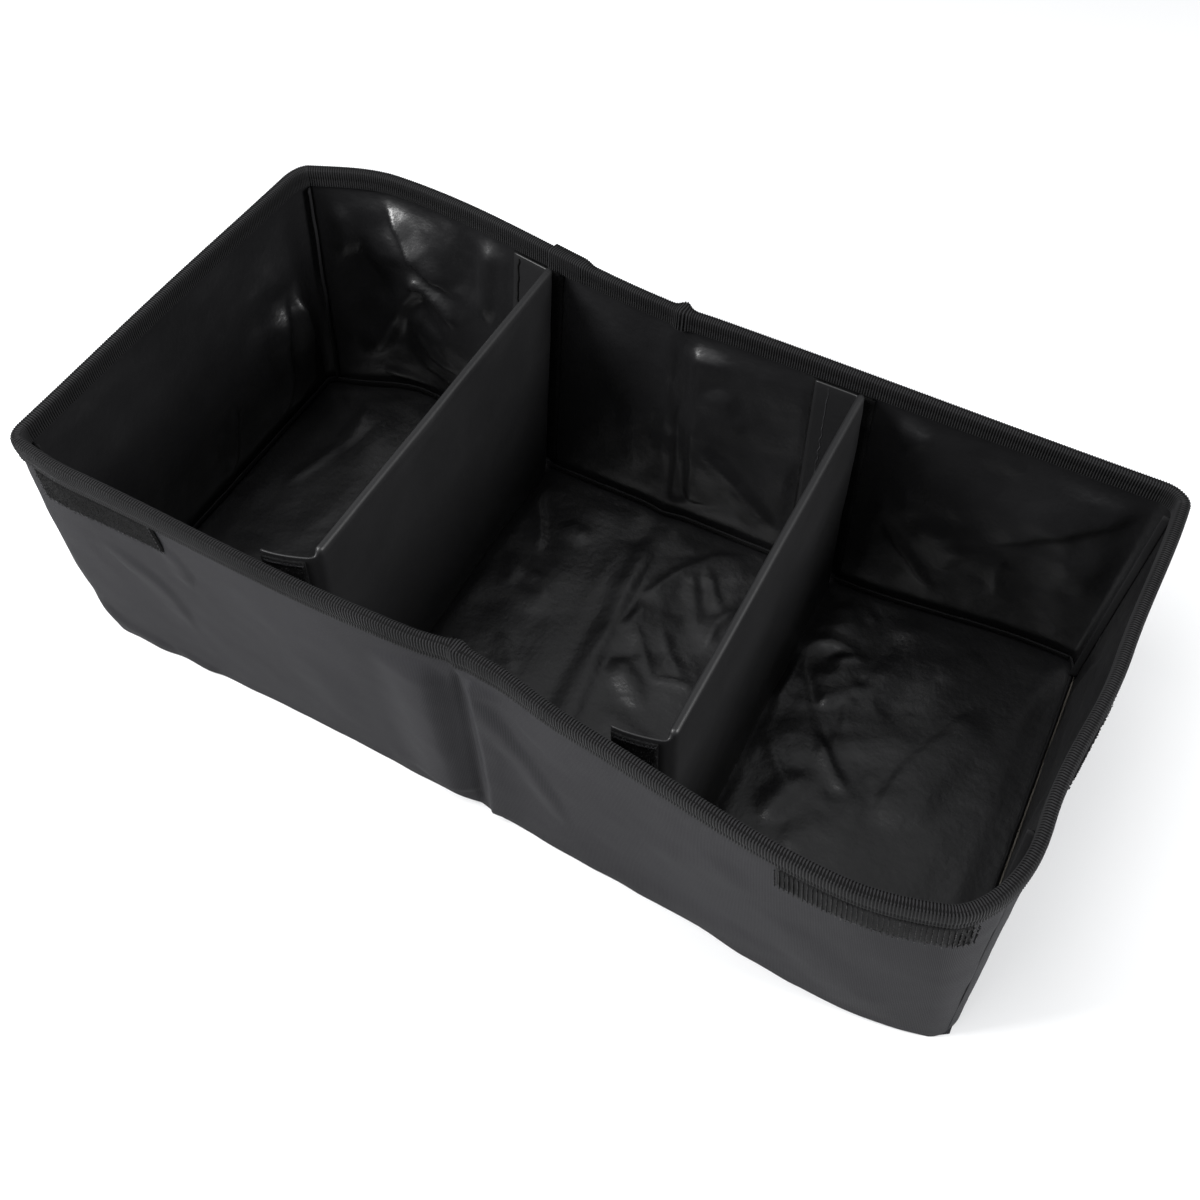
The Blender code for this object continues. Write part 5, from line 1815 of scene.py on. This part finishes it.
@dataclass
class SeamBindings:
    """The bound seams inside, round the floor and beside the corners."""

    thickness: float = 0.0012
    height: float = 0.0052
    lean: float = 0.0015
    corner_width: float = 0.0040
    corner_rows: int = 60

    def build(self, finishes: Finishes) -> None:
        """Make the floor seam and the four corner seams."""
        self.build_floor_seam(finishes)
        names = ("front_left", "front_right", "back_right", "back_left")
        for name, key in zip(names, CORNER_MARKS):
            self.build_corner_seam(name, FORM.marks[key], finishes)

    def build_floor_seam(self, finishes: Finishes) -> None:
        """Make the seam that leans off the foot of the walls."""
        stations = np.arange(FORM.count).astype(float)
        foot = SIZES.floor_top + GAP
        inset = SIZES.wall_depth + 2 * GAP
        half_w = self.thickness / 2
        across, up = rounded_ring(half_w, self.height / 2)
        run = FORM.travel[:-1] / MM
        wave = 0.28 * sway(run, 0 * run, 26.0, 51)[:, None] * MM
        insets = inset + half_w + across[None, :] + self.lean * up[None, :] / self.height
        insets = insets + np.maximum(wave, -0.0001) * up[None, :] / self.height
        heights = np.broadcast_to(foot + up, insets.shape)
        sections = FORM.at(np.broadcast_to(stations[:, None], insets.shape), heights, insets)
        seam = lofted("floor_seam_tape", sections, finishes.seam_tape, True)
        dress(seam, ["floor_seam_binding"])

    def build_corner_seam(self, name: str, station: int, finishes: Finishes) -> None:
        """Make a seam that stands off the lining beside a corner.

        Args:
            name: Which corner.
            station: Station of the seam.
            finishes: The materials.
        """
        levels = np.linspace(SIZES.floor_top + self.height + 3 * GAP, SIZES.inner_trim, self.corner_rows)
        root = FORM.plan(np.full(levels.shape, float(station)), levels, SIZES.wall_depth + GAP)
        normal = FORM.normal(np.full(levels.shape, float(station)), levels)
        along = np.stack([-normal[:, 1], normal[:, 0]], 1)
        across, away = rounded_ring(self.thickness / 2, self.corner_width / 2)
        wave = 0.35 * MM * sway(levels / MM, 0 * levels, 30.0, 60 + station % 7)
        plan = root[:, None, :] - normal[:, None, :] * away[None, :, None]
        plan = plan + along[:, None, :] * (across[None, :, None] + wave[:, None, None])
        sections = np.concatenate([plan, np.broadcast_to(levels[:, None, None], (*plan.shape[:2], 1))], -1)
        seam = lofted(f"{name}_seam_tape", sections, finishes.seam_tape, False)
        dress(seam, [f"{name}_seam_binding"])


# ---------------------------------------------------------------- dividers

DIVIDER_BOARD = 0.0020
DIVIDER_COVER = 0.0005
DIVIDER_HALF = DIVIDER_BOARD / 2 + GAP + DIVIDER_COVER
TAB_LENGTH = 0.0250
# Grids of covers and grips, and density, height and lean of the grown fibres.
TAB_COLUMNS, BEND_COLUMNS, BOARD_COLUMNS = 13, 9, 60
SIDE_ROWS, TOP_ROWS, PROBE_ROWS, GRIP_ROWS = 42, 9, 24, 60
TOP_REACH = 0.0018
HOOKS = 3.2e5, 0.0013, 0.0005
LOOPS = 1.2e5, 0.0011, 0.0007


def laid(name: str, node: str, faces: list[Array], uv: Array, material: Material) -> Piece:
    """Make the sheet that stands for a CAD node, between two grids of points.

    Args:
        name: Name of the sheet.
        node: The CAD node.
        faces: Its outer and its inner face.
        uv: Place on the cloth of each grid point.
        material: Its material.

    Returns:
        The sheet.
    """
    piece = thin_sheet(name, faces[0], faces[1], uv, material)
    turn_outwards(piece)
    return dress(piece, [node])


@dataclass(frozen=True)
class Divider:
    """A divider: a board in a folded cloth cover whose two ends run out into tabs."""

    name: str
    x: float
    lean: float
    seed: int
    height: float = 0.1485
    tab_top_drop: float = 0.0040
    tab_foot: float = 0.0130
    tab_thickness: float = 0.0010
    tab_bend: float = 0.0040
    stand_off_top: float = 0.0080
    stand_off_foot: float = 0.0030
    spring: float = 0.0075
    slack: float = 0.55
    wave: float = 0.50
    ripple: float = 0.16
    top_roll: float = 0.00022

    @property
    def foot(self) -> float:
        """Height of the cover's foot."""
        return SIZES.floor_top + 0.0008

    @property
    def top(self) -> float:
        """Height of the cover's top."""
        return self.foot + self.height

    @property
    def tab_inset(self) -> float:
        """Inset of the tabs' wall side."""
        hooks = SIZES.wall_depth + GAP + 0.0012 + GAP + 0.0010
        return max(hooks, SIZES.tape_inside + SIZES.lap_growth) + GAP

    def middle(self, z: Array) -> Array:
        """X of the divider's middle plane at a height."""
        return self.x - self.lean * z / self.top

    def tab_y(self, side: Side, offset: Array, z: Array, inset: float) -> Array:
        """Y of a tab at an offset from the divider's middle plane."""
        y = FORM.wall_y(side, self.middle(z) + offset, z, inset)
        if side is Side.BACK:
            return y
        rise = z / self.top
        share = np.maximum(0.0, 1 + offset / TAB_LENGTH)
        bend = self.stand_off_foot * (1 - rise) + self.stand_off_top * rise
        return y + self.spring * rise**2 + bend * share**1.5

    def centre_line(self, z: Array) -> tuple[Array, Array, Array]:
        """The cover's middle line in plan, from the back tab's free edge to the front tab's.

        Args:
            z: Heights, one for each row.

        Returns:
            Plan points by row and column, how far each column lies in the board's pocket,
            from 0 in a tab to 1, and the run along the line.
        """
        tab = np.linspace(-TAB_LENGTH, -self.tab_bend, TAB_COLUMNS)
        bend = np.linspace(0.0, 1.0, BEND_COLUMNS)[1:-1]
        straight = np.linspace(0.0, 1.0, BOARD_COLUMNS)
        grid_z = z[:, None]
        middle = self.middle(grid_z)
        inset = self.tab_inset + self.tab_thickness / 2
        ends = {}
        for side in (Side.BACK, Side.FRONT):
            inward = 1 if side is Side.FRONT else -1
            tab_z = np.broadcast_to(grid_z, (len(z), len(tab)))
            tab_y = self.tab_y(side, np.broadcast_to(tab, tab_z.shape), tab_z, inset)
            tab_points = np.stack([middle + tab, tab_y], -1)
            corner_y = self.tab_y(side, np.zeros(grid_z.shape), grid_z, inset)
            knee = np.stack([middle, corner_y], -1)
            start = tab_points[:, -1:]
            end = np.stack([middle, corner_y + inward * self.tab_bend * 1.3], -1)
            t = bend[None, :, None]
            arc = (1 - t) ** 2 * start + 2 * t * (1 - t) * knee + t**2 * end
            ends[side] = (np.concatenate([tab_points, arc], 1), end)
        back, back_end = ends[Side.BACK]
        front, front_end = ends[Side.FRONT]
        s = straight[None, :, None]
        board = back_end * (1 - s) + front_end * s
        line = np.concatenate([back, board, front[:, ::-1]], 1)
        widening = step_up(np.linspace(0.0, 1.0, len(bend)), 0.35, 1.0)
        tabs = np.zeros(len(tab))
        pocket = np.concatenate([tabs, widening, np.ones(len(straight)), widening[::-1], tabs])
        run = np.concatenate([[0.0], np.cumsum(np.linalg.norm(np.diff(line[len(z) // 2], axis=0), axis=1))])
        return line, pocket, run

    def cover(self, finishes: Finishes) -> None:
        """Make the cover: one sheet up one side, over the top and down the other."""
        share = np.linspace(0.0, 1.0, SIDE_ROWS)
        turn = np.linspace(0.0, math.pi, TOP_ROWS)[1:-1]
        level = np.concatenate([share, np.ones(len(turn)), share[::-1]])
        cap = np.concatenate([np.zeros(SIDE_ROWS), np.sin(turn), np.zeros(SIDE_ROWS)])
        wing = np.concatenate([np.ones(SIDE_ROWS), np.cos(turn), -np.ones(SIDE_ROWS)])
        on_side = np.abs(wing) == 1
        probe = np.linspace(self.foot, self.top, PROBE_ROWS)
        line, pocket, run = self.centre_line(probe)
        tabbed = 1 - pocket
        rim = self.top - self.tab_top_drop * step_up(tabbed, 0.2, 1.0)
        rim = rim + 0.25 * MM * (1 + sway(run / MM, 0 * run, 70.0, self.seed)) * pocket
        foot = self.foot + (self.tab_foot - self.foot) * step_up(tabbed, 0.2, 1.0)
        tight = DIVIDER_COVER + 0.0001
        half = tight + (DIVIDER_HALF - tight) * pocket
        faces = []
        for depth in (0.0, DIVIDER_COVER):
            reach = half - depth
            tall = rim - np.minimum(half, TOP_REACH) - foot
            z = foot[None, :] + tall[None, :] * level[:, None] + cap[:, None] * np.minimum(reach, TOP_REACH)
            base = np.stack([
                np.stack([np.interp(z[:, c], probe, line[:, c, a]) for c in range(line.shape[1])], 1)
                for a in (0, 1)
            ], -1)
            tangent = np.gradient(base, axis=1)
            tangent /= np.linalg.norm(tangent, axis=-1)[..., None] + 1e-12
            normal = np.stack([-tangent[..., 1], tangent[..., 0]], -1)
            up = z / MM
            along = np.broadcast_to(run[None, :] / MM, up.shape)
            slack = self.slack + self.wave * sway(along, up, 70.0, self.seed + 1)
            slack = slack + self.ripple * sway(along, up, 24.0, self.seed + 2)
            slack = np.maximum(slack, 0.0) * step_up(self.height - np.abs(up * MM - self.foot), 0.0, 0.012)
            slack = slack * pocket[None, :] * on_side[:, None] * MM
            roll = self.top_roll * np.exp(-(((level - 1) / 0.012) ** 2)) * on_side
            away = wing[:, None] * (reach[None, :] + roll[:, None] * pocket[None, :]) + slack * wing[:, None]
            plan = base + normal * away[..., None]
            dent = 0.0001 * cap[:, None] * pocket[None, :]
            faces.append(np.concatenate([plan, (z - dent)[..., None]], -1))
        travel = np.concatenate([share * self.height, self.height + turn * DIVIDER_HALF,
                                 self.height * (2 - share[::-1]) + 0.005])
        uv = np.stack(np.broadcast_arrays(run[None, :], travel[:, None]), -1)
        node = f"{self.name}_cover"
        piece = laid(f"{node}_cloth", node, faces, uv, finishes.divider_fabric)

    def grip(self, side: Side, finishes: Finishes) -> None:
        """Make a tab's hook tape, with its hooks, and the loop pile sewn to the wall behind it.

        Args:
            side: Front or back.
            finishes: The materials.
        """
        label = f"{self.name}_{side.value}"
        top = self.top - self.tab_top_drop - 0.0022 if side is Side.FRONT else SIZES.inner_trim - GAP
        offsets = np.linspace(-TAB_LENGTH + 0.0004, -0.0045, 12)
        levels = np.linspace(self.tab_foot, top, GRIP_ROWS)
        grid_o, grid_z = np.meshgrid(offsets, levels)
        faces = []
        for inset in (self.tab_inset - GAP - 0.0008, self.tab_inset - 0.0001):
            y = self.tab_y(side, grid_o, grid_z, inset)
            faces.append(np.stack([self.middle(grid_z) + grid_o, y, grid_z], -1))
        if side is Side.BACK:
            faces = [face[:, ::-1] for face in faces]
        uv = np.stack([grid_o, grid_z], -1)
        laid(f"{label}_hooks_ground", f"{label}_hook_tape", faces, uv, finishes.hook_tape)
        patch = surface_patch(faces[0])
        dress(grown(f"{label}_hooks", patch, *HOOKS, self.seed, finishes.bristle), [])
        self.wall_loop(side, label, finishes)

    def wall_loop(self, side: Side, label: str, finishes: Finishes) -> None:
        """Make the loop pile on the wall."""
        levels = np.linspace(self.tab_foot - 0.002, SIZES.inner_trim - GAP, GRIP_ROWS)
        offsets = np.linspace(-TAB_LENGTH - 0.002, DIVIDER_HALF + 0.0045, 14)
        grid_o, grid_z = np.meshgrid(offsets, levels)
        faces = []
        grid_x = self.middle(grid_z) + grid_o
        for inset in (SIZES.wall_depth + 0.0001, SIZES.wall_depth + GAP + 0.0009):
            y = FORM.wall_y(side, grid_x, grid_z, inset)
            fuzz = 0.12 * MM * sway(grid_x / MM, grid_z / MM, 7.0, self.seed + 5)
            inward = 1 if side is Side.FRONT else -1
            faces.append(np.stack([grid_x, y + inward * fuzz * (inset > SIZES.wall_depth + GAP), grid_z], -1))
        if side is Side.BACK:
            faces = [face[:, ::-1] for face in faces]
        uv = np.stack([grid_o, grid_z], -1)
        laid(f"{label}_loop_ground", f"{label}_wall_loop", faces, uv, finishes.loop_pile)
        patch = surface_patch(faces[1][:, ::-1])
        dress(grown(f"{label}_loops", patch, *LOOPS, self.seed + 9, finishes.pile_fibre), [])


DIVIDERS = (Divider("left_divider", -0.087, 0.0, 71), Divider("right_divider", 0.100, 0.006, 81))


def tab_clearance(x: Array) -> Array:
    """Weight that keeps the lining flat behind the tabs."""
    weight = np.ones(x.shape)
    for divider in DIVIDERS:
        low = divider.x - TAB_LENGTH - 0.003
        high = divider.x + 0.009
        distance = np.maximum(np.maximum(low - x, x - high), 0.0)
        weight = weight * step_up(distance, 0.0, 0.009)
    return weight


@dataclass
class DividerPair:
    """The two dividers and what is sewn on their tabs."""

    def build(self, finishes: Finishes) -> None:
        """Make both dividers."""
        for divider in DIVIDERS:
            divider.cover(finishes)
            for side in (Side.FRONT, Side.BACK):
                divider.grip(side, finishes)
        self.build_tab_stitches(finishes)

    def build_tab_stitches(self, finishes: Finishes) -> None:
        """Make the seams that hold the grips: up each back tab, and along each front tab's top."""
        dark, light = [], []
        draw = np.random.default_rng(91)
        for divider in DIVIDERS:
            tab_top = divider.top - divider.tab_top_drop
            levels = np.linspace(tab_top - 0.002, 0.030, 120)
            offset = -TAB_LENGTH + (0.0032 if divider.lean == 0 else 0.0075)
            wander = 0.45 * MM * sway(levels / MM, 0 * levels, 6.0, divider.seed + 3)
            x = divider.middle(levels) + offset + wander
            y = FORM.wall_y(Side.BACK, x, levels, divider.tab_inset + divider.tab_thickness + 0.0002)
            (dark if divider.lean == 0 else light).append(np.stack([x, y, levels], -1))
            offsets = np.linspace(-TAB_LENGTH + 0.002, -0.005, 60)
            zig = np.resize([0.0, 0.0016], 60) + draw.uniform(-0.0004, 0.0004, 60)
            height = tab_top - 0.0055 + zig
            y = divider.tab_y(Side.FRONT, offsets, height, divider.tab_inset - GAP - 0.0011)
            light.append(np.stack([divider.middle(height) + offsets, y, height], -1))
        dress(swept("tab_dark_seam", dark, 0.00055, 5, finishes.dark_thread), [])
        dress(swept("tab_light_seams", light, 0.00022, 4, finishes.thread), [])


# ---------------------------------------------------------------- strips outside


# Grids of the strips, and the share of hooks left out.
STRIP_ROWS, PILE_ROWS, HOOK_ROWS = 18, 20, 22
COLUMN_PITCH, HOOK_PITCH = 0.0016, 0.0019
MISSING_HOOKS = 0.12


@dataclass
class OuterStrips:
    """The hook-and-loop strips sewn outside under the rim."""

    height: float = 0.0200
    thickness: float = 0.0013
    row_pitch: float = 0.0012
    stitch: Triple = (0.0026, 0.0020, 0.00045)
    edge_share: float = 0.35
    left_span: Place = (-0.2370, -0.1645)
    right_span: Place = (0.1535, 0.2300)
    end_span: Place = (-0.0450, 0.0380)

    @property
    def top(self) -> float:
        """Height of the strips' upper edge, at the foot of the rim tape."""
        return SIZES.height - SIZES.tape_outer_side - GAP

    def build(self, finishes: Finishes) -> None:
        """Make the three strips."""
        strips = (
            ("front_left_strip", Side.FRONT, self.left_span, finishes.loop_pile, "loop_pile"),
            ("front_right_strip", Side.FRONT, self.right_span, finishes.hook_tape, "hook_tape"),
            ("right_end_strip", Side.RIGHT, self.end_span, finishes.loop_pile, "loop_pile"),
        )
        lines = []
        for node, side, span, material, slot in strips:
            self.strip(node, side, span, material, slot)
            grid = self.face(side, span, self.thickness + 0.00005)
            lines += [grid[1], grid[:, 1], grid[:, -2]]
        dress(stitched("strip_stitches", lines, *self.stitch, finishes.thread), [])
        self.grow_piles(finishes)
        self.set_hooks(finishes)

    def face(
        self, side: Side, span: Place, out: float, rows: int = STRIP_ROWS, pitch: float = COLUMN_PITCH
    ) -> Array:
        """Grid of points over a strip.

        Args:
            side: Wall that it is on.
            span: Its ends along the wall.
            out: How far the grid stands off the wall.
            rows: Number of rows.
            pitch: Distance between columns.

        Returns:
            Rows and columns of points.
        """
        start = FORM.station(side, span[0], self.top)
        end = FORM.station(side, span[1], self.top)
        stations = np.linspace(start, end, max(6, round((span[1] - span[0]) / pitch)))
        grid_s, grid_z = np.meshgrid(stations, np.linspace(self.top - self.height, self.top, rows))
        return FORM.at(grid_s, grid_z, -out - corner_belly(grid_s, grid_z))

    def strip(self, node: str, side: Side, span: Place, material: Material, slot: str) -> None:
        """Make the ground of a strip, thinner at its edges."""
        outer, flat = self.face(side, span, self.thickness), self.face(side, span, GAP)
        row, column = (np.arange(count) for count in outer.shape[:2])
        edge = np.minimum.outer(np.minimum(row, row[::-1]), np.minimum(column, column[::-1]))
        share = np.clip(self.edge_share + 0.5 * edge, 0.0, 1.0)[..., None]
        outer = flat + (outer - flat) * share
        uv = np.stack(np.meshgrid(column * COLUMN_PITCH, row * self.row_pitch), -1)
        piece = thin_sheet(f"{node}_ground", outer, flat, uv, material)
        dress(piece, [node])

    def grow_piles(self, finishes: Finishes) -> None:
        """Grow the pile on the two loop strips."""
        piles = (
            ("front_left_pile", Side.FRONT, self.left_span, 1.1e6, 0.0011, 0.0008, 5),
            ("right_end_pile", Side.RIGHT, self.end_span, 1.0e6, 0.0024, 0.0014, 6),
        )
        for name, side, span, *fibres in piles:
            patch = surface_patch(self.face(side, span, self.thickness - 0.0002, PILE_ROWS))
            dress(grown(name, patch, *fibres, finishes.pile_fibre), [])

    def set_hooks(self, finishes: Finishes) -> None:
        """Set the hooks of the hook strip in columns, with some missing."""
        lines = []
        grid, away = (
            self.face(Side.FRONT, self.right_span, self.thickness + out, HOOK_ROWS, HOOK_PITCH)
            for out in (0.0001, 0.0011)
        )
        draw = np.random.default_rng(7)
        for column in range(grid.shape[1]):
            for row in range(1, grid.shape[0] - 1):
                if draw.random() < MISSING_HOOKS:
                    continue
                foot, tip = grid[row, column], away[row, column]
                bend = tip + np.array([0.0, 0.0, draw.uniform(0.0002, 0.0006)])
                hook = bend + np.array([draw.uniform(-3e-4, 3e-4), 0.0, draw.uniform(0.0002, 0.0006)])
                lines.append(np.array([foot, bend, hook]))
        dress(swept("front_right_hooks", lines, 0.00017, 4, finishes.bristle), [])


# ---------------------------------------------------------------- studio


@dataclass(frozen=True)
class SoftLight:
    """A soft square lamp."""

    name: str
    place: Triple
    size: float
    power: float
    target: Triple = (0.0, 0.0, 0.08)


@dataclass
class Studio:
    """Pale ground, soft lamps and the camera."""

    place: Triple = (0.18711, -0.38237, 0.62466)
    azimuth: float = 25.44
    elevation: float = 53.47
    roll: float = 2.03
    lens: float = 40.35
    ambient: float = 0.34
    sky: Triple = (0.97, 0.98, 1.0)
    ground_half: float = 6.0
    lamps: tuple[SoftLight, ...] = (
        SoftLight("key", (-0.95, -0.70, 0.95), 0.60, 27.0),
        SoftLight("top", (-0.40, -0.70, 2.20), 0.80, 14.0),
        SoftLight("side", (1.50, 0.15, 0.85), 0.60, 25.0),
    )

    def build(self) -> None:
        """Make the studio."""
        self.ground()
        self.world()
        for lamp in self.lamps:
            self.light(lamp)
        self.camera()
        view = bpy.context.scene.view_settings
        view.view_transform = "Standard"
        view.look = "None"

    def ground(self) -> None:
        """Make the ground."""
        mesh = bpy.data.meshes.new("studio_ground")
        half = self.ground_half
        corners = [(-half, -half, 0.0), (half, -half, 0.0), (half, half, 0.0), (-half, half, 0.0)]
        mesh.from_pydata(corners, [], [(0, 1, 2, 3)])
        mesh.materials.append(StudioGround().material())
        linked("studio_ground", mesh)

    def world(self) -> None:
        """Light the scene evenly from all round."""
        world = bpy.data.worlds.new("studio_world")
        world.use_nodes = True
        backdrop = world.node_tree.nodes["Background"]
        backdrop.inputs["Color"].default_value = (*self.sky, 1.0)
        backdrop.inputs["Strength"].default_value = self.ambient
        bpy.context.scene.world = world

    def light(self, lamp: SoftLight) -> None:
        """Hang a lamp."""
        data = bpy.data.lights.new(lamp.name, "AREA")
        data.shape = "SQUARE"
        data.size = lamp.size
        data.energy = lamp.power
        piece = linked(f"lamp_{lamp.name}", data)
        piece.location = lamp.place
        aim = Vector(lamp.target) - Vector(lamp.place)
        piece.rotation_euler = aim.to_track_quat("-Z", "Y").to_euler()

    def camera(self) -> None:
        """Set the camera at the photograph's view."""
        azimuth, elevation, roll = (math.radians(v) for v in (self.azimuth, self.elevation, self.roll))
        ahead = -Vector((
            math.sin(azimuth) * math.cos(elevation),
            -math.cos(azimuth) * math.cos(elevation),
            math.sin(elevation),
        ))
        level = ahead.cross(Vector((0, 0, 1))).normalized()
        above = level.cross(ahead)
        right = level * math.cos(roll) + above * math.sin(roll)
        up = above * math.cos(roll) - level * math.sin(roll)
        data = bpy.data.cameras.new("camera")
        data.lens = self.lens
        data.sensor_width = 36.0
        data.clip_start = 0.01
        camera = linked("camera", data)
        turn = Matrix((right, up, -ahead)).transposed().to_4x4()
        camera.matrix_world = Matrix.Translation(self.place) @ turn
        bpy.context.scene.camera = camera


def dress_boards(finishes: Finishes) -> None:
    """Give the boards inside the walls and dividers their finish."""
    for name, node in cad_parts.items():
        if "board" in name:
            node.data.materials.clear()
            node.data.materials.append(finishes.stiffener_board)


def main() -> None:
    """Build the dressed model and its studio."""
    logging.basicConfig(level=logging.INFO, format="%(message)s")
    Studio().build()
    finishes = Finishes()
    OuterShell().build(finishes)
    LiningSet().build(finishes)
    RimBinding().build(finishes)
    SeamBindings().build(finishes)
    DividerPair().build(finishes)
    OuterStrips().build(finishes)
    dress_boards(finishes)


if __name__ == "__main__":
    main()
